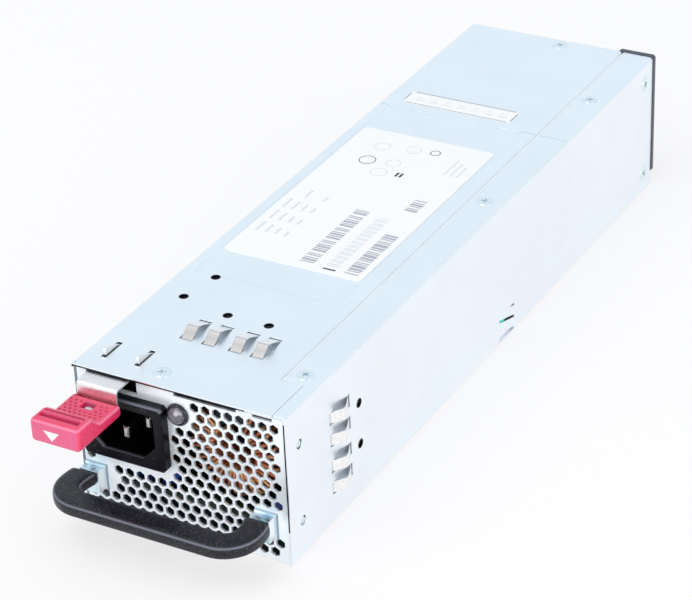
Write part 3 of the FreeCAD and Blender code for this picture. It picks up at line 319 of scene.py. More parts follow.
def moulding():
    """Black moulding with fine pale specks, a painted pale sheen on its upward faces, a painted highlight
    on its shoulders and painted dead-black shade deep in the inlet.
    """
    g = Graph("black_moulding")
    tone = g.noise(140, 4, 0.6)
    base = g.mix(g.span(tone, 0.35, 0.7), (0.004, 0.004, 0.006), (0.009, 0.009, 0.013))
    specks = g.both(g.span(g.cells(1000), 0.14, 0.26, 1, 0), g.span(g.noise(450, 2, 0.4), 0.54, 0.62))
    face = g.mix(specks, base, (0.16, 0.16, 0.18))
    inlet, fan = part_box("inlet_housing")[0].y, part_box("fan_frame")[0].y
    # Painted shade: from just behind the inlet's mouth back to the fan frame the moulding is painted dead
    # black.
    deep = g.both(g.span(g.axis(1), inlet + 0.0005, inlet + 0.0017),
                  g.span(g.axis(1), fan + 0.0005, fan + 0.001, 1, 0))
    # Painted sheen: upward faces are painted paler and bluer, except deep in the inlet.
    painted_top_sheen = g.both(g.span(g.facing(2), 0.6, 0.95), g.math("SUBTRACT", 1.0, deep))
    face = g.mix(painted_top_sheen, face, (0.105, 0.110, 0.138))
    # Painted highlight: the shoulders are painted paler.
    face = g.mix(g.shoulder_highlight(), face, (0.16, 0.165, 0.20))
    # Painted shade: dead black deep in the inlet.
    g.set(Base_Color=g.mix(deep, face, (0.002, 0.002, 0.0025)), Specular_IOR_Level=0.12)
    g.vary_roughness(g.noise(900, 3, 0.6), 0.26, 0.38)
    return g.normal(g.bump(g.noise(1800, 2, 0.5), 0.3, 0.00006, g.rounded(0.0004)))


def lens():
    """Clear, faintly violet lamp plastic."""
    g = Graph("lamp_lens")
    tone = g.span(g.noise(260, 3, 0.5), 0.4, 0.7)
    g.set(Base_Color=g.mix(tone, (0.84, 0.81, 0.90), (0.90, 0.87, 0.95)))
    g.vary_roughness(g.noise(500, 2, 0.5), 0.03, 0.08)
    g.set(Transmission_Weight=0.95, Coat_Weight=0.6, Coat_Roughness=0.06)
    return g.normal(g.bump(g.noise(300, 2, 0.5), 0.05, 0.00005))


def copper():
    """Enamelled wire."""
    g = Graph("copper_wire")
    tone = g.noise(240, 3, 0.6)
    g.set(Base_Color=g.mix(g.span(tone, 0.35, 0.7), (0.62, 0.12, 0.04), (1.0, 0.55, 0.26)), Metallic=0.55)
    g.vary_roughness(g.noise(600, 2, 0.5), 0.20, 0.34)
    g.set(Coat_Weight=0.7, Coat_Roughness=0.12)
    return g.normal(g.bump(tone, 0.08, 0.0001))


def board():
    """Green circuit board with faint tracks."""
    g = Graph("green_board")
    tone = g.noise(120, 4, 0.6)
    base = g.mix(g.span(tone, 0.4, 0.65), (0.004, 0.022, 0.012), (0.008, 0.040, 0.020))
    tracks = g.span(g.cells(170, "DISTANCE_TO_EDGE"), 0.02, 0.05, 1, 0)
    g.set(Base_Color=g.mix(tracks, base, (0.012, 0.06, 0.03)))
    g.vary_roughness(tone, 0.22, 0.34)
    return g.normal(g.bump(tracks, 0.3, 0.00005))


def paper(name, color):
    """Label stock with a fine fibre."""
    g = Graph(name)
    fibre = g.noise(900, 4, 0.6)
    g.set(Base_Color=g.mix(g.span(fibre, 0.3, 0.7), toned(color, 0.97), color))
    g.vary_roughness(fibre, 0.34, 0.44)
    return g.normal(g.bump(fibre, 0.05, 0.00003))


def ink(name, color):
    """Flat printing ink."""
    g = Graph(name)
    tone = g.noise(1500, 3, 0.6)
    g.set(Base_Color=g.mix(g.span(tone, 0.3, 0.7), toned(color, 0.8), color))
    g.vary_roughness(tone, 0.40, 0.55)
    return g.normal(g.bump(tone, 0.04, 0.00002))


EVEN = (1.0, 1.0, 1.0)
MATERIALS = {
    "zinc": zinc("zinc_sheet"),
    # Cover and chassis: zinc with painted shade on its cut edges, the left wall's front edge and a step in
    # the top.
    "zinc_painted_shade": zinc("zinc_cover_painted_shade", cut=True),
    "panel": panel_zinc(),
    # Paler, smoother zinc: a painted highlight for the rolled seam edge.
    "highlight_zinc": zinc("zinc_bend_highlight", (0.95, 0.975, 1.0), 0.22),
    "screw": steel("screw_steel", (0.70, 0.74, 0.78), 0.30),
    "spring": steel("spring_steel", (0.96, 0.93, 0.92), 0.36, (1.0, 0.08, 1.0)),
    # Dark steel: painted shade on the latch anchor, which shows only through the holes in the cover.
    "anchor": steel("anchor_painted_shade", (0.10, 0.10, 0.11), 0.45),
    "tooth": finger_steel(),
    "pale_tooth": steel("pale_finger_steel", (0.98, 0.97, 0.965), 0.33),
    "bolt": steel("bolt_zinc", (0.86, 0.95, 1.0), 0.24, EVEN),
    "pale_bolt": steel("pale_bolt_zinc", (0.84, 0.96, 0.99), 0.30, EVEN),
    # Near-black steel: painted shade for the rims of the punched holes.
    "hole_shade": steel("hole_painted_shade", (0.03, 0.034, 0.042), 0.40),
    "land": steel("land_steel", (0.86, 0.93, 1.0), 0.50),
    "pin": steel("tinned_brass", (0.60, 0.59, 0.57), 0.24),
    "gold": steel("gold_plate", (0.90, 0.66, 0.26), 0.22),
    "sink": steel("sink_aluminium", (0.62, 0.64, 0.66), 0.40, (1.0, 1.0, 0.08)),
    "copper": copper(),
    "black": moulding(),
    "grip": grip_plastic(),
    "crimson": tab_plastic(),
    # Darker crimson: painted shade for the tab's ticks.
    "crimson_painted_shade": plastic("crimson_painted_shade", (0.58, 0.018, 0.09), 0.45, 1500, 0.00003),
    "gloss_black": plastic("gloss_black", (0.020, 0.020, 0.026), 0.16, 900, 0.00002),
    "cup": plastic("lamp_cup", (0.30, 0.28, 0.31), 0.22, 700, 0.00002),
    "lens": lens(),
    "shroud": plastic("shroud_moulding", (0.06, 0.065, 0.095), 0.42),
    "fan": plastic("fan_plastic", (0.035, 0.035, 0.036), 0.45),
    "core": plastic("choke_core", (0.030, 0.034, 0.040), 0.55),
    "blue": plastic("blue_coating", (0.012, 0.06, 0.36), 0.20, 700, vary=0.10),
    "can": plastic("can_sleeve", (0.02, 0.03, 0.07), 0.28, 600, 0.00002, edge=0.0004),
    "ferrite": plastic("ferrite", (0.05, 0.05, 0.055), 0.62, 1800, 0.0001),
    "tape": plastic("coil_tape", (0.62, 0.46, 0.08), 0.30, 500, 0.00003),
    "film": plastic("clear_film", (0.26, 0.27, 0.36), 0.25),
    "teal": plastic("board_edge", (0.05, 0.85, 0.66), 0.4),
    "lilac": plastic("vent_liner", (0.88, 0.88, 1.0), 0.5),
    "board": board(),
    "label": paper("white_label", (0.94, 0.915, 0.89)),
    "ink": ink("print_ink", (0.05, 0.06, 0.09)),
    "code_ink": ink("code_ink", (0.46, 0.47, 0.54)),
    "faint_ink": ink("faint_ink", (0.80, 0.81, 0.84)),
    "edge_ink": ink("edge_ink", (0.20, 0.22, 0.26)),
    "white_ink": ink("white_ink", (0.92, 0.93, 0.95)),
}

# The CAD nodes that are shown as they are; the pieces below stand for all the others.
DRESS = {
    "zinc": ("rear_panel",),
    "panel": ("front_panel",),
    "zinc_painted_shade": ("cover", "chassis"),
    "screw": ("handle_screws", "latch_stake", "standoffs"),
    "spring": ("latch_strip",),
    "anchor": ("latch_anchor",),
    "black": ("inlet_housing", "fan_frame"),
    "shroud": ("connector_shroud",),
    "pin": ("inlet_pins",),
    "gold": ("edge_contacts",),
    "board": ("main_board", "edge_board"),
    "ferrite": ("transformer_core",),
    "tape": ("transformer_coil",),
    "sink": ("heat_sinks",),
    "film": ("insulator",),
    "label": ("top_label", "rear_label"),
}
for key, names in DRESS.items():
    for name in names:
        mesh = NODES[name].data
        mesh.materials.clear()
        mesh.materials.append(MATERIALS[key])


# ---------------------------------------------------------------- shaping tools

def at(x, y, z):
    """A point in mm from the casing's left wall, front panel and underside."""
    return Vector((x - HALF_WIDTH, y - HALF_LENGTH, z)) * MM


def extent(node):
    """A CAD node's box in the same mm, as x0, x1, y0, y1, z0, z1."""
    low, high = ([v / MM for v in corner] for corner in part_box(node))
    return (low[0] + HALF_WIDTH, high[0] + HALF_WIDTH, low[1] + HALF_LENGTH, high[1] + HALF_LENGTH,
            low[2], high[2])


def front_centre(node):
    """Middle of the front of a CAD node's box."""
    low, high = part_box(node)
    return Vector(((low.x + high.x) / 2, low.y, (low.z + high.z) / 2))


def squared(value, power):
    """A sine or cosine pushed outwards, which squares a circle off."""
    return math.copysign(abs(value) ** power, value)


def dressed(name, mesh, material, body, nodes=()):
    """Put a mesh in the scene as a piece that rides on its body and stands for CAD nodes."""
    for face in mesh.polygons:
        face.use_smooth = True
    mesh.materials.append(MATERIALS[material])
    piece = bpy.data.objects.new(name, mesh)
    bpy.context.scene.collection.objects.link(piece)
    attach(piece, body)
    if nodes:
        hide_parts(*nodes)
    return piece


def baked(name, bm):
    """Mesh from a bmesh, with its faces turned outwards."""
    bmesh.ops.recalc_face_normals(bm, faces=bm.faces)
    mesh = bpy.data.meshes.new(name)
    bm.to_mesh(mesh)
    bm.free()
    return mesh


def sharpen(mesh, angle):
    mesh.set_sharp_from_angle(angle=math.radians(angle))


def finish(name, bm, material, body, nodes=(), angle=32):
    """Turn a bmesh into a dressed piece, smooth but for edges past an angle."""
    piece = dressed(name, baked(name, bm), material, body, nodes)
    sharpen(piece.data, angle)
    return piece


def prism(bm, ring, shift, soft=0.0, steps=2):
    """Closed outline pushed along shift, its edges rounded where soft is given."""
    verts = [bm.verts.new(p) for p in ring]
    base = bm.faces.new(verts)
    pushed = bmesh.ops.extrude_face_region(bm, geom=[base])["geom"]
    top = [g for g in pushed if isinstance(g, bmesh.types.BMVert)]
    bmesh.ops.translate(bm, vec=shift, verts=top)
    if soft:
        body = set(verts) | set(top)
        edges = [e for e in bm.edges if e.verts[0] in body and e.verts[1] in body]
        bmesh.ops.bevel(bm, geom=edges, offset=soft, segments=steps, profile=0.5, affect="EDGES",
                        clamp_overlap=True)


def slab(bm, x0, x1, y0, y1, z0, z1, soft=0.0):
    """Upright block, its limits in mm as at() takes them."""
    ring = [at(x0, y0, z0), at(x1, y0, z0), at(x1, y1, z0), at(x0, y1, z0)]
    prism(bm, ring, Z * (z1 - z0) * MM, soft * MM)


def skin(bm, rings, ends=True):
    """Quads between rings of equally many points, with flat ends if asked for."""
    rows = [[bm.verts.new(p) for p in ring] for ring in rings]
    count = len(rows[0])
    for low, high in zip(rows, rows[1:]):
        for k in range(count):
            n = (k + 1) % count
            bm.faces.new((low[k], low[n], high[n], high[k]))
    if ends:
        bm.faces.new(list(reversed(rows[0])))
        bm.faces.new(rows[-1])


def turn(axis, angle):
    """Two directions square to an axis, combined at an angle."""
    side = Z if abs(axis.z) < 0.5 else X
    return side * math.cos(angle) + axis.cross(side) * math.sin(angle)


def lathe(bm, centre, axis, profile, steps=48, ends=True):
    """Profile of (radius, distance along the axis) in mm, turned about the axis."""
    rings = []
    for radius, along in profile:
        middle = centre + axis * along * MM
        rings.append([middle + turn(axis, 2 * math.pi * k / steps) * max(radius, 0.01) * MM
                      for k in range(steps)])
    skin(bm, rings, ends=ends)


def loose(bm):
    """Bare object for use as a cutter."""
    piece = bpy.data.objects.new("cutter", baked("cutter", bm))
    bpy.context.scene.collection.objects.link(piece)
    return piece


def carve(piece, cutter):
    """Take one mesh out of another for good."""
    tool = piece.modifiers.new("cut", "BOOLEAN")
    tool.operation = "DIFFERENCE"
    tool.solver = "EXACT"
    tool.use_self = True
    tool.object = cutter
    bpy.context.view_layer.update()
    graph = bpy.context.evaluated_depsgraph_get()
    mesh = bpy.data.meshes.new_from_object(piece.evaluated_get(graph), depsgraph=graph)
    piece.modifiers.clear()
    piece.data = mesh
    for face in mesh.polygons:
        face.use_smooth = True
    sharpen(mesh, 32)
    bpy.data.objects.remove(cutter)


def islands(node):
    """Box of each separate solid of a CAD node, as (low, high)."""
    bm = bmesh.new()
    bm.from_mesh(NODES[node].data)
    bmesh.ops.remove_doubles(bm, verts=bm.verts, dist=1e-6)
    boxes = []
    seen = set()
    for start in bm.verts:
        if start in seen:
            continue
        group = [start]
        seen.add(start)
        for vert in group:
            for edge in vert.link_edges:
                other = edge.other_vert(vert)
                if other not in seen:
                    seen.add(other)
                    group.append(other)
        low = Vector([min(v.co[k] for v in group) for k in range(3)])
        high = Vector([max(v.co[k] for v in group) for k in range(3)])
        boxes.append((low, high))
    bm.free()
    return boxes


# ---------------------------------------------------------------- grip

GRIP_WIDTH, GRIP_BEND, GRIP_SPLAY, GRIP_ROUND = 9.0, 8.0, 0.9, 0.6
LEG_STEPS, BEND_STEPS = 4, 15


def grip_path(left, right, front, back):
    """Middle line of the U from boss to boss: splayed leg, bend, bar, bend and leg."""
    bend = GRIP_BEND * MM
    half = []
    for k in range(LEG_STEPS, -1, -1):
        share = k / LEG_STEPS
        half.append((left + GRIP_SPLAY * MM * share ** 2, front + bend + (back - front - bend) * share))
    for k in range(1, BEND_STEPS + 1):
        a = math.radians(90 * k / BEND_STEPS)
        half.append((left + bend * (1 - math.cos(a)), front + bend * (1 - math.sin(a))))
    return half + [(left + right - x, y) for x, y in reversed(half)]


def grip_ring(point, ahead, shrink, rise):
    """Section of the grip: flat faces with broad round edges."""
    side = Vector((ahead.y, -ahead.x, 0))
    ring = []
    for k in range(40):
        a = 2 * math.pi * k / 40
        across = squared(math.cos(a), 0.42) * (GRIP_WIDTH / 2 - shrink)
        up = squared(math.sin(a), 0.55) * (rise / 2 - shrink)
        ring.append(point + (side * across + Z * up) * MM)
    return ring


def grip():
    """Oval-edged U bar on one bent path, its legs ending on the bosses with rounded ends."""
    low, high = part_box("handle_grip")
    inset = GRIP_WIDTH / 2 * MM
    path = grip_path(low.x + inset, high.x - inset, low.y + inset, high.y)
    path = [Vector((x, y, (low.z + high.z) / 2)) for x, y in path]
    back_off = Y * GRIP_ROUND * MM
    stations = [(path[0], -Y, GRIP_ROUND), (path[0] - back_off, -Y, 0)]
    for before, point, after in zip(path, path[1:], path[2:]):
        stations.append((point, (after - before).normalized(), 0))
    stations += [(path[-1] - back_off, Y, 0), (path[-1], Y, GRIP_ROUND)]
    bm = bmesh.new()
    skin(bm, [grip_ring(*station, (high.z - low.z) / MM) for station in stations])
    finish("grip", bm, "grip", "casing", ("handle_grip",), 50)


# ---------------------------------------------------------------- release tab

HUMP_TOP, HUMP_FOOT, HUMP_RISE = 7.8, 11.6, 3.9
TAB_MARGIN, TAB_ROUND = 1.6, 1.5
# The slot that the spring strip lies in, the notch over its rear and the square hatch, as at() takes them.
SLOT_END, SLOT_Z = -17.7, (45.2, 46.1)
NOTCH_END, NOTCH_FLOOR = -9.1, 45.6
HATCH_HALF, HATCH_Y, HATCH_FLOOR = 2.2, (-14.3, -10.9), 46.0
TICK_ROWS, TICK_COLUMNS = 6, 9
TICK_X, TICK_Y, TICK_RISE = 1.85, 1.62, 0.2
ARROW_DEPTH = 0.2


def tab():
    """Crimson tab: soft-edged pad and hump with two grooves, a square hatch and raised ticks."""
    x0, x1, y0, y1, z0, top = extent("latch_tab")
    pad = top - HUMP_RISE
    side = [(y1, z0), (y1, pad), (y0 + HUMP_FOOT, pad), (y0 + HUMP_TOP, top), (y0, top), (y0, z0)]
    bm = bmesh.new()
    prism(bm, [at(x0, y, z) for y, z in side], X * (x1 - x0) * MM, TAB_ROUND * MM, 6)
    body = finish("release_tab", bm, "crimson", "latch", ("latch_tab",))
    cuts = bmesh.new()
    for start, end, deep, soft in ((2.7, 4.7, 2.3, 0.3), (6.1, 6.9, 1.1, 0.15)):
        slab(cuts, x0 + TAB_MARGIN, x1 - TAB_MARGIN, y0 + start, y0 + end, top - deep, top + 1, soft)
    strip0, strip1 = extent("latch_strip")[:2]
    slab(cuts, strip0 - 0.1, strip1 + 0.1, SLOT_END, y1 + 1, *SLOT_Z)
    slab(cuts, strip0 - 0.1, strip1 + 0.1, NOTCH_END, y1 + 1, NOTCH_FLOOR, top)
    hatch = (strip0 + strip1) / 2 - 0.2
    slab(cuts, hatch - HATCH_HALF, hatch + HATCH_HALF, *HATCH_Y, HATCH_FLOOR, top, 0.2)
    carve(body, loose(cuts))
    tab_ticks(x0, x1, y0, y1, pad, hatch)
    bm = bmesh.new()
    arrow = [at(x, y0 - 0.03, z) for x, z in ((9.8, 49.1), (15.4, 49.1), (12.6, 45.9))]
    prism(bm, arrow, Y * ARROW_DEPTH * MM)
    finish("tab_arrow", bm, "white_ink", "latch")


def tab_ticks(x0, x1, y0, y1, pad, hatch):
    """Staggered rows of small chevrons on the pad, left out round the hatch, painted darker crimson as
    shade.
    """
    bm = bmesh.new()
    for row in range(TICK_ROWS):
        y = y0 + HUMP_FOOT + TAB_MARGIN + row * TICK_Y
        for column in range(TICK_COLUMNS):
            x = x0 + 1.7 + column * TICK_X + (0.9 if row % 2 else 0)
            over_hatch = abs(x - hatch) < HATCH_HALF + 1.0 and HATCH_Y[0] - 1.3 < y < HATCH_Y[1] + 1.2
            if x > x1 - TAB_MARGIN or over_hatch or y > y1 - 2.2:
                continue
            chevron = ((-0.5, 0.25), (0, -0.4), (0.5, 0.25), (0.32, 0.4), (0, -0.02), (-0.32, 0.4))
            prism(bm, [at(x + a, y + b, pad - 0.05) for a, b in chevron], Z * TICK_RISE * MM)
    finish("tab_ticks", bm, "crimson_painted_shade", "latch")


# ---------------------------------------------------------------- lamp

LENS_R, LENS_RISE = 2.86, 1.75


def lamp():
    """Bezel ring, domed lens, the reflecting cup behind it, and small white shapes inside that give a
    painted glint.
    """
    low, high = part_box("led_holder")
    centre = front_centre("led_holder")
    rim = (high.x - low.x) / 2 / MM
    bm = bmesh.new()
    lathe(bm, centre, Y, [(2.95, 6.0), (2.95, 0.5), (3.02, 0.2), (3.2, 0.02), (rim - 0.7, -0.05),
                          (rim - 0.25, 0.2), (rim, 0.7), (rim, 1.05), (3.45, 1.1), (3.45, 6.0)], 64)
    finish("lamp_ring", bm, "gloss_black", "casing", ("led_holder",), 50)
    bm = bmesh.new()
    dome = [(LENS_R, 5.0), (LENS_R, 0.2)]
    for k in range(1, 12):
        a = math.radians(90 * k / 12)
        dome.append((LENS_R * math.cos(a), 0.2 - LENS_RISE * math.sin(a)))
    lathe(bm, centre, Y, dome + [(0.02, -1.56)], 56)
    finish("lamp_lens", bm, "lens", "casing", ("led_lens",), 60)
    bm = bmesh.new()
    lathe(bm, centre, Y, [(2.7, 4.4), (2.7, 1.4), (2.35, 1.3), (1.1, 3.6), (0.02, 3.7)], 40)
    finish("lamp_cup", bm, "cup", "casing", (), 40)
    # Painted glint: small white shapes inside the lens.
    bm = bmesh.new()
    glint_shape = [(0.75, 2.6), (0.7, 0.3), (0.45, 0.0), (0.02, -0.1)]
    lathe(bm, centre + Vector((-0.2, 0.3, 0.5)) * MM, Y, glint_shape, 24)
    lathe(bm, centre + Vector((0.9, 0.6, 0.6)) * MM, Y, [(0.35, 2.2), (0.32, 0.2), (0.02, 0.0)], 16)
    finish("lamp_glint", bm, "label", "casing", (), 40)


# ---------------------------------------------------------------- screws, rivets

HEAD_R = 3.0


def cross(bm, centre, axis, arm, width, deep, spin):
    """Cross-shaped cutter at a screw head's face."""
    for extra in (0, 90):
        a = math.radians(spin + extra)
        along, across = turn(axis, a), turn(axis, a + math.pi / 2)
        corners = ((-arm, -width), (arm, -width), (arm, width), (-arm, width))
        ring = [centre + (along * p + across * q + axis * 0.3) * MM for p, q in corners]
        prism(bm, ring, axis * -(deep + 0.3) * MM)


def screws(name, node, axis, length, rise, material):
    """Domed heads with a cross recess, one on each solid of the CAD node."""
    bm = bmesh.new()
    cuts = bmesh.new()
    for k, (low, high) in enumerate(islands(node)):
        face = (low + high) / 2
        face += axis * (high - face).dot(axis)
        lathe(bm, face, axis, [(0.02, rise), (HEAD_R * 0.45, rise * 0.9), (HEAD_R * 0.8, rise * 0.6),
                               (HEAD_R - 0.2, 0.22), (HEAD_R, 0.02), (HEAD_R, -0.02), (1.4, -0.03),
                               (1.4, -length), (0.02, -length)], 44)
        cross(cuts, face + axis * rise * MM, axis, HEAD_R * 0.44, HEAD_R * 0.1, 0.8, 20 + 25 * k)
    piece = finish(name, bm, material, "casing", (node,))
    carve(piece, loose(cuts))


def rivets():
    """Turned rivet heads with a dimple, in the right wall."""
    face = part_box("wall_rivets")[1].x
    bm = bmesh.new()
    for low, high in islands("wall_rivets"):
        centre = Vector((face, (low.y + high.y) / 2, (low.z + high.z) / 2))
        lathe(bm, centre, X, [(1.3, -2.8), (1.3, -0.5), (1.1, -0.2), (0.65, -0.15), (0.5, -0.75),
                              (0.02, -0.8)], 32)
    finish("wall_rivets_turned", bm, "bolt", "casing", ("wall_rivets",), 35)


# ---------------------------------------------------------------- earthing fingers, punched holes

FINGERS = (0.0, 8.0, 17.6, 25.5)
FINGER_WIDTH, FINGER_LENGTH, FINGER_THICK = 3.9, 11.6, 0.28
# The strip's land under them: its edge round the fingers, how deep it lies, and its two holes.
LAND_EDGE, LAND_LENGTH = 1.0, 21.0
LAND_DROP, LAND_THICK = 1.05, 0.25
LAND_HOLES, LAND_HOLE_BACK = (6.3, 21.4), 17.6
# The two holes over the latch's anchor, as x and y of at().
ANCHOR_HOLES = (13.3, 62.9), (10.4, 47.9)


def finger_rows():
    """Where each row of fingers starts, which way it runs and which way is out."""
    top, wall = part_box("emi_top"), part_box("emi_side")
    edge = LAND_EDGE * MM
    return (("emi_top", Vector((top[0].x + edge, top[0].y + edge, HEIGHT * MM)), X, Z),
            ("emi_side", Vector((HALF_WIDTH * MM, wall[0].y + edge, wall[1].z - edge)), -Z, X))


def finger_line():
    """Profile of a finger: (distance from the front, height over the sheet)."""
    line = [(0.0, -0.6), (0.35, -0.25), (2.1, 1.05), (3.3, 1.9)]
    for k in range(8):
        a = math.radians(128 - 50 * k / 7)
        line.append((4.45 + 1.35 * math.cos(a), 1.17 + 1.35 * math.sin(a)))
    line += [(6.4, 2.05), (8.4, 1.3), (10.2, 0.45), (11.0, 0.0), (11.4, -0.7), (11.8, -0.95)]
    return line


def finger_section():
    """A finger's profile and its underside, as one closed outline."""
    outer = finger_line()
    inner = []
    for k, (y, z) in enumerate(outer):
        a = outer[max(k - 1, 0)]
        b = outer[min(k + 1, len(outer) - 1)]
        run = Vector((b[0] - a[0], b[1] - a[1])).normalized()
        inner.append((y + run.y * FINGER_THICK, z - run.x * FINGER_THICK))
    return outer + inner[::-1]


def fingers(name, row, metal):
    """Row of bowed fingers with rounded crests, over a land with two holes and a slab under each finger."""
    node, origin, along, up = row
    bm = bmesh.new()
    for start in FINGERS:
        root = origin + along * start * MM
        ring = [root + (Y * y + up * z) * MM for y, z in finger_section()]
        prism(bm, ring, along * FINGER_WIDTH * MM)
    finish(name, bm, metal, "casing", (), 40)
    bm = bmesh.new()
    last = along * (FINGERS[-1] + FINGER_WIDTH + 2 * LAND_EDGE) * MM
    corner = origin - (along * LAND_EDGE + Y * LAND_EDGE + up * LAND_DROP) * MM
    back = Y * LAND_LENGTH * MM
    prism(bm, [corner, corner + last, corner + last + back, corner + back], up * -LAND_THICK * MM)
    for start in FINGERS:
        root = origin + (along * (start - 0.25) + Y * 0.1 - up * 0.35) * MM
        wide, deep = along * (FINGER_WIDTH + 0.5) * MM, Y * FINGER_LENGTH * MM
        prism(bm, [root, root + wide, root + wide + deep, root + deep], up * -0.2 * MM)
    strip = finish(name + "_land", bm, "land", "casing", (node,))
    cuts = bmesh.new()
    for x in LAND_HOLES:
        lathe(cuts, origin + (along * x + Y * LAND_HOLE_BACK) * MM, up, [(1.6, -3), (1.6, 3)], 24)
    carve(strip, loose(cuts))


def hole_shade_rims():
    """Rims of the punched holes in the cover and the wall, painted near black as the shade inside the
    holes.
    """
    places = [(at(x, y, HEIGHT), Z) for x, y in ANCHOR_HOLES]
    for _, origin, along, up in finger_rows():
        places += [(origin + (along * x + Y * LAND_HOLE_BACK) * MM, up) for x in LAND_HOLES]
    bm = bmesh.new()
    for place, axis in places:
        lathe(bm, place, axis, [(1.28, -0.4), (1.28, 0.012), (1.66, 0.012), (1.70, -0.03), (1.28, -0.4)],
              32, ends=False)
    finish("hole_shade_rims", bm, "hole_shade", "casing")


def vent_view():
    """What shows behind the wall's low vent: a green edge and a pale part."""
    inner = 2 * HALF_WIDTH - 1.0
    bm = bmesh.new()
    slab(bm, inner - 0.4, inner, 143.0, 149.4, 5.6, 9.4)
    finish("vent_board_edge", bm, "teal", "casing")
    bm = bmesh.new()
    slab(bm, inner - 0.4, inner, 143.0, 156.0, 1.0, 4.1, 0.1)
    finish("vent_liner", bm, "lilac", "casing")


def seam():
    """Rolled edge of the chassis flange, where it lies beside the cover, painted paler as a highlight."""
    x, width, sink, rise = 64.1, 0.55, 0.05, 0.16
    rings = []
    for y in (18.6, 2 * HALF_LENGTH - 0.6):
        ring = []
        for k in range(9):
            a = math.pi * k / 8
            ring.append(at(x + width * (1 + math.cos(a)), y, HEIGHT - sink + rise * math.sin(a)))
        rings.append(ring)
    bm = bmesh.new()
    skin(bm, rings)
    finish("seam_edge", bm, "highlight_zinc", "casing", (), 60)


# ---------------------------------------------------------------- coils and cans

WIRE = 1.3             # outer diameter
CORE_BORE = 0.553      # share of the outer radius


def coil_section(outer, inner, half):
    """One turn round a ring core, as (radius, place along the core's axis), with round corners."""
    r = WIRE / 2
    section = []
    corners = ((outer + r, half + r), (inner - r, half + r), (inner - r, -half - r), (outer + r, -half - r))
    for k, (radius, y) in enumerate(corners):
        inwards = -math.copysign(0.9, radius - (outer + inner) / 2), -math.copysign(0.9, y)
        for step in range(4):
            a = math.radians(90 * (k + step / 3.0))
            section.append((radius + inwards[0] + 0.9 * math.cos(a), y + inwards[1] + 0.9 * math.sin(a)))
    return section


def coil(name, node, core, half, outer, inner, turns, gap):
    """One enamelled wire wound round a ring core that stands facing front, open at the top."""
    low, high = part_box(core)
    middle = (low + high) / 2
    section = coil_section(outer, inner, half)
    count = turns * len(section)
    curve = bpy.data.curves.new(name, "CURVE")
    curve.dimensions = "3D"
    spline = curve.splines.new("POLY")
    spline.points.add(count - 1)
    for k, point in enumerate(spline.points):
        radius, y = section[k % len(section)]
        a = math.radians(90 + gap / 2 + (360 - gap) * k / count)
        point.co = (*(middle + Vector((math.cos(a) * radius, y, math.sin(a) * radius)) * MM), 1)
    curve.bevel_depth = WIRE / 2 * MM
    curve.bevel_resolution = 3
    wire = bpy.data.objects.new(name, curve)
    bpy.context.scene.collection.objects.link(wire)
    graph = bpy.context.evaluated_depsgraph_get()
    mesh = bpy.data.meshes.new_from_object(wire.evaluated_get(graph), depsgraph=graph)
    bpy.data.objects.remove(wire)
    dressed(name, mesh, "copper", "casing", (node,))


def ring_core(name, node):
    """Coated ring with rounded edges."""
    low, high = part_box(node)
    centre = (low + high) / 2
    half = (high.y - low.y) / 2 / MM
    outer = (high.x - low.x) / 2 / MM
    inner = outer * CORE_BORE
    rings = []
    for k in range(28):
        a = 2 * math.pi * k / 28
        r = (outer + inner) / 2 + squared(math.cos(a), 0.5) * (outer - inner) / 2
        y = squared(math.sin(a), 0.5) * half
        rings.append([centre + Vector((r * math.cos(t), y, r * math.sin(t))) * MM
                      for t in [2 * math.pi * j / 56 for j in range(56)]])
    bm = bmesh.new()
    skin(bm, rings + rings[:1], ends=False)
    bmesh.ops.remove_doubles(bm, verts=bm.verts, dist=1e-7)
    finish(name, bm, "core", "casing", (node,), 60)


def cans():
    """Sleeved cans with a rolled groove, a bare top and a scored vent."""
    bm = bmesh.new()
    tops = bmesh.new()
    for low, high in islands("bulk_capacitors"):
        base = Vector(((low.x + high.x) / 2, (low.y + high.y) / 2, low.z))
        r, h = (high.x - low.x) / 2 / MM, (high.z - low.z) / MM
        lathe(bm, base, Z, [(r - 2, 0), (r, 0.6), (r, 3.6), (r - 0.8, 4.4), (r - 0.8, 5.0), (r, 5.8),
                            (r, h - 0.9), (r - 0.3, h - 0.3), (r - 1.4, h - 0.1), (r - 1.5, h - 0.6)], 64)
        lathe(tops, base, Z, [(r - 1.4, h - 1.0), (r - 1.4, h - 0.35), (0.02, h - 0.3)], 64)
        top = base + Z * (h - 0.42) * MM
        for degrees in (0.0, 60.0, 120.0):
            a = math.radians(degrees)
            along = (X * math.cos(a) + Y * math.sin(a)) * r * 0.6 * MM
            across = (Y * math.cos(a) - X * math.sin(a)) * 0.3 * MM
            score = [top - along - across, top + along - across, top + along + across, top - along + across]
            prism(tops, score, Z * 0.25 * MM)
    finish("can_sleeves", bm, "can", "casing", ("bulk_capacitors",), 40)
    finish("can_tops", tops, "sink", "casing", (), 30)


def discs():
    """Dipped disc capacitors with a swollen middle and coated legs."""
    bm = bmesh.new()
    for low, high in islands("line_capacitors"):
        centre = Vector(((low.x + high.x) / 2, (low.y + high.y) / 2, high.z - 4.2 * MM))
        lathe(bm, centre, Y, [(0.02, -1.5), (2.4, -1.4), (3.6, -0.95), (4.15, -0.3), (4.15, 0.3),
                              (3.6, 0.95), (2.4, 1.4), (0.02, 1.5)], 40)
        for side in (-1, 1):
            foot = Vector((centre.x + side * 2.4 * MM, centre.y, low.z))
            lathe(bm, foot, Z, [(0.35, 0), (0.4, 1.6), (0.9, 2.6), (0.9, 4.0)], 12)
    finish("line_discs", bm, "blue", "casing", ("line_capacitors",), 60)


# ---------------------------------------------------------------- fan

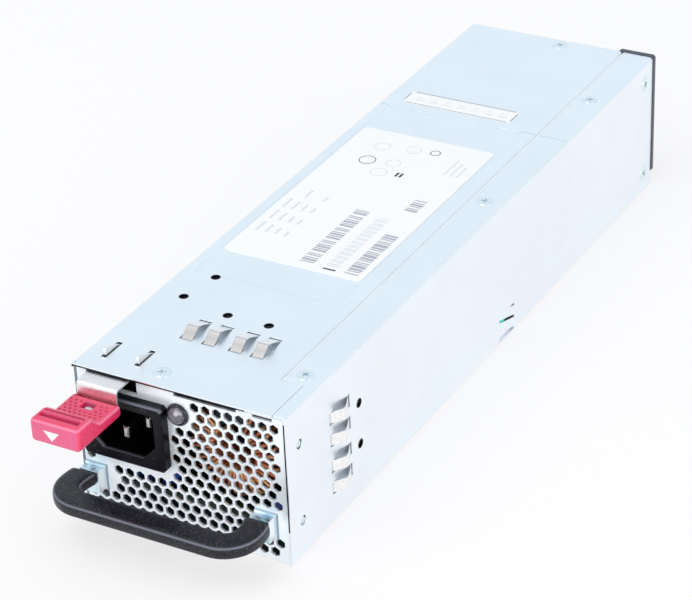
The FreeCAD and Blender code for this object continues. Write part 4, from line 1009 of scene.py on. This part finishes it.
BLADES, HUB_R = 7, 11.0
BLADE_STEPS = 8
BLADE_FRONT, BLADE_BACK, BLADE_THICK = 0.9, 11.4, 0.9


def blade(centre, tip, start):
    """Middle surface of one swept, twisted blade, as rows from hub to tip."""
    rows = []
    for i in range(BLADE_STEPS + 1):
        share = i / BLADE_STEPS
        r = HUB_R - 0.3 + (tip - HUB_R + 0.1) * share
        chord = 11.5 + 5.0 * share
        pitch = math.radians(52 - 22 * share)
        sweep = 0.30 * share * share
        row = []
        for j in range(BLADE_STEPS + 1):
            c = (j / BLADE_STEPS - 0.5) * chord
            camber = 1.1 * (1 - (2 * j / BLADE_STEPS - 1) ** 2)
            y = 6.1 + c * math.sin(pitch) - camber * math.cos(pitch) * 0.6
            y = min(max(y, BLADE_FRONT), BLADE_BACK)
            a = start + sweep + (c * math.cos(pitch) + camber * math.sin(pitch)) / r
            row.append(centre + Vector((r * math.cos(a), y, r * math.sin(a))) * MM)
        rows.append(row)
    return rows


def rotor():
    """Domed hub and seven blades."""
    low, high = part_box("fan_rotor")
    centre = front_centre("fan_rotor")
    bm = bmesh.new()
    lathe(bm, centre, Y, [(0.02, 0.2), (HUB_R - 2.2, 0.2), (HUB_R - 0.8, 0.5), (HUB_R - 0.1, 1.4),
                          (HUB_R, 2.4), (HUB_R, 12.4), (HUB_R - 1.2, 12.4), (HUB_R - 1.2, 11.5),
                          (1.5, 11.5), (1.5, 16.5), (0.02, 16.5)], 64)
    half = Y * BLADE_THICK / 2 * MM
    for k in range(BLADES):
        rows = blade(centre, (high.x - low.x) / 2 / MM, 2 * math.pi * k / BLADES)
        skin(bm, [[p - half for p in row] + [p + half for p in reversed(row)] for row in rows])
    finish("rotor", bm, "fan", "fan", ("fan_rotor",), 40)


# ---------------------------------------------------------------- printed labels

PRINT = 0.03         # thickness of the ink
LIFT = 0.01          # its gap over the label
BAR_PITCH = 0.55     # width of the thinnest bar


def bars(bm, x0, y0, y1, width, weights, z):
    """Strip of bars from y0 to y1, each with a gap after it, as a generic stock code."""
    y = y0
    k = 0
    while y < y1 - 0.2:
        thick = weights[k % len(weights)] * BAR_PITCH
        if k % 2 == 0:
            slab(bm, x0, x0 + width, y, min(y + thick, y1), z, z + PRINT)
        y += thick
        k += 1


def ring_marks(bm, places, z):
    """Plain printed rings, each (x, y, radius)."""
    for x, y, r in places:
        line = ((r, 0), (r, PRINT), (r - 0.28, PRINT), (r - 0.28, 0), (r, 0))
        lathe(bm, at(x, y, z), Z, line, 40, ends=False)


def top_prints():
    """Bars, dashes and rings on the big label."""
    x0, x1, y0, y1, _, z = extent("top_label")
    z += LIFT
    bm = bmesh.new()
    bars(bm, x1 - 24.6, y0 + 4.2, y0 + 43, 5.2, (1, 1, 2, 1, 1, 2, 1, 1, 1, 3, 2, 1), z)
    bars(bm, x1 - 7.4, y0 + 3, y0 + 31.5, 5.0, (1, 2, 1, 1, 2, 1, 3, 1, 1, 1), z)
    bars(bm, x1 - 9.6, y0 + 49, y0 + 58, 4.6, (2, 1, 1, 2, 1, 1), z)
    finish("code_bars", bm, "code_ink", "casing")
    bm = bmesh.new()
    bars(bm, x1 - 15.2, y0 + 5, y0 + 41, 4.6, (1, 1, 1, 2), z)
    for row in range(4):
        x = x0 + 3.0 + row * 3.6
        for k in range(3 + row % 2):
            slab(bm, x, x + 0.9, y0 + 16 + k * 9.0, y0 + 22.5 + k * 9.0 - row, z, z + PRINT)
    for row in range(3):
        x = x1 - 9.5 + row * 2.4
        slab(bm, x, x + 0.6, y1 - 22, y1 - 10 - row * 2, z, z + PRINT)
    ring_marks(bm, ((x0 + 13, y1 - 11.5, 3.0), (x0 + 24.5, y1 - 9.5, 2.8), (x0 + 21, y1 - 29.5, 3.0),
                    (x0 + 22.5, y1 - 21.5, 2.8)), z)
    finish("faint_print", bm, "faint_ink", "casing")
    bm = bmesh.new()
    ring_marks(bm, ((x0 + 13, y1 - 22.8, 3.1), (x0 + 32.5, y1 - 8.5, 1.9)), z)
    slab(bm, x1 - 15.2, x1 - 10.6, y0 + 2.4, y0 + 3.2, z, z + PRINT)
    for x in (x0 + 27.3, x0 + 28.9):
        slab(bm, x, x + 0.9, y1 - 30.0, y1 - 27.0, z, z + PRINT)
    finish("dark_print", bm, "ink", "casing")


def rear_prints():
    """Dark outline and two lines of dashes on the rear label."""
    x0, x1, y0, y1, _, z = extent("rear_label")
    z += LIFT
    hair = 0.02
    bm = bmesh.new()
    for sides in ((x0 + 1.5, x1 - 1.5, y1 - 0.35, y1 - hair), (x0 + 1.5, x1 - 1.5, y0 + hair, y0 + 0.3),
                  (x1 - 0.35, x1 - hair, y0 + 1.5, y1 - 1.5), (x0 + hair, x0 + 0.3, y0 + 1.5, y1 - 1.5)):
        slab(bm, *sides, z - hair, z + PRINT)
    finish("label_edge", bm, "edge_ink", "casing")
    bm = bmesh.new()
    for k in range(7):
        x = x0 + 4 + k * 5.6
        slab(bm, x, x + 3.4, y0 + 3.0, y0 + 3.5, z, z + PRINT)
        slab(bm, x, x + 2.4, y0 + 5.2, y0 + 5.6, z, z + PRINT)
    finish("rear_print", bm, "faint_ink", "casing")


# ---------------------------------------------------------------- the pieces

grip()
tab()
lamp()
screws("cover_screws_turned", "cover_screws", Z, 1.9, 0.34, "bolt")
screws("wall_screws_turned", "wall_screws", X, 1.3, 0.3, "pale_bolt")
rivets()
for name, row, metal in zip(("top_fingers", "wall_fingers"), finger_rows(), ("tooth", "pale_tooth")):
    fingers(name, row, metal)
seam()
hole_shade_rims()
vent_view()
ring_core("filter_ring", "filter_core")
ring_core("boost_ring", "boost_core")
coil("filter_coil", "filter_winding", "filter_core", half=5.5, outer=15.2, inner=8.4, turns=34, gap=50)
coil("boost_coil", "boost_winding", "boost_core", half=6.0, outer=14.5, inner=8.0, turns=30, gap=40)
cans()
discs()
rotor()
top_prints()
rear_prints()


# ---------------------------------------------------------------- stage

def area(name, place, aim, size, power, color):
    """Soft rectangular lamp pointed at a place."""
    data = bpy.data.lights.new(name, "AREA")
    data.shape = "RECTANGLE"
    data.size, data.size_y = size
    data.energy = power
    data.color = color
    light = bpy.data.objects.new(name, data)
    bpy.context.scene.collection.objects.link(light)
    light.location = place
    light.rotation_euler = (Vector(aim) - Vector(place)).to_track_quat("-Z", "Y").to_euler()


EYE = (0.37562, -0.68172, 0.46528)
AZIMUTH, ELEVATION, ROLL = (math.radians(v) for v in (30.117, 30.179, -2.498))


def camera():
    """The photograph's eye point, heading, tilt and slight roll."""
    ahead = Vector((-math.sin(AZIMUTH) * math.cos(ELEVATION), math.cos(AZIMUTH) * math.cos(ELEVATION),
                    -math.sin(ELEVATION)))
    level = ahead.cross(Z).normalized()
    upright = level.cross(ahead)
    right = level * math.cos(ROLL) + upright * math.sin(ROLL)
    up = upright * math.cos(ROLL) - level * math.sin(ROLL)
    data = bpy.data.cameras.new("camera")
    data.lens, data.sensor_width = 133.72, 36.0
    data.clip_start, data.clip_end = 0.05, 20
    eye = bpy.data.objects.new("camera", data)
    bpy.context.scene.collection.objects.link(eye)
    eye.matrix_world = Matrix.Translation(EYE) @ Matrix((right, up, -ahead)).transposed().to_4x4()
    bpy.context.scene.camera = eye


def floor_paint():
    """Pale floor that shades under light, and is nearly white to the eye and in reflections."""
    g = Graph("floor_paint")
    g.set(Base_Color=g.mix(g.noise(3, 2, 0.5), (0.93, 0.91, 0.90), (0.94, 0.92, 0.91)), Roughness=0.9)
    white = g.add("ShaderNodeEmission")
    g.put(white, 0, (1.0, 0.985, 0.985))
    pale = g.add("ShaderNodeMixShader")
    g.put(pale, 0, 0.62)
    g.link(g.bsdf.outputs[0], pale.inputs[1])
    g.link(white.outputs[0], pale.inputs[2])
    rays = g.add("ShaderNodeLightPath").outputs
    shown = g.math("MAXIMUM", rays["Is Camera Ray"], rays["Is Glossy Ray"])
    seen = g.add("ShaderNodeMixShader")
    g.put(seen, 0, g.math("MAXIMUM", shown, rays["Is Transmission Ray"]))
    g.link(g.bsdf.outputs[0], seen.inputs[1])
    g.link(pale.outputs[0], seen.inputs[2])
    g.link(seen.outputs[0], g.out.inputs[0])
    return g.mat


def floor():
    """Wide plain floor just under the casing."""
    bm = bmesh.new()
    bmesh.ops.create_grid(bm, x_segments=8, y_segments=8, size=4.0)
    mesh = bpy.data.meshes.new("floor")
    bm.to_mesh(mesh)
    bm.free()
    mesh.materials.append(floor_paint())
    ground = bpy.data.objects.new("floor", mesh)
    ground.location.z = -0.2 * MM
    bpy.context.scene.collection.objects.link(ground)


def world():
    """Even studio light, faintly blue on the object and white to the eye."""
    studio = bpy.data.worlds.new("studio")
    bpy.context.scene.world = studio
    studio.use_nodes = True
    tree = studio.node_tree
    back = tree.nodes["Background"]
    back.inputs[1].default_value = 0.97
    rays = tree.nodes.new("ShaderNodeLightPath")
    tint = tree.nodes.new("ShaderNodeMix")
    tint.data_type = "RGBA"
    tint.inputs[6].default_value = (0.87, 0.94, 1.0, 1)
    tint.inputs[7].default_value = (1.0, 1.0, 1.0, 1)
    tree.links.new(rays.outputs["Is Camera Ray"], tint.inputs[0])
    tree.links.new(tint.outputs[2], back.inputs[0])


camera()
floor()
world()
area("key", (-0.5, -0.9, 1.3), (0, 0, 0), (0.9, 0.9), 3.5, (1.0, 0.97, 0.93))
area("side", (1.3, -0.5, 0.5), (0.04, 0, 0.03), (1.0, 0.7), 4, (1.0, 0.96, 0.91))
area("front", (0.25, -1.5, 0.35), (0, -0.14, 0.03), (0.7, 0.5), 4.5, (1.0, 0.97, 0.93))

bpy.context.scene.view_settings.view_transform = "Standard"
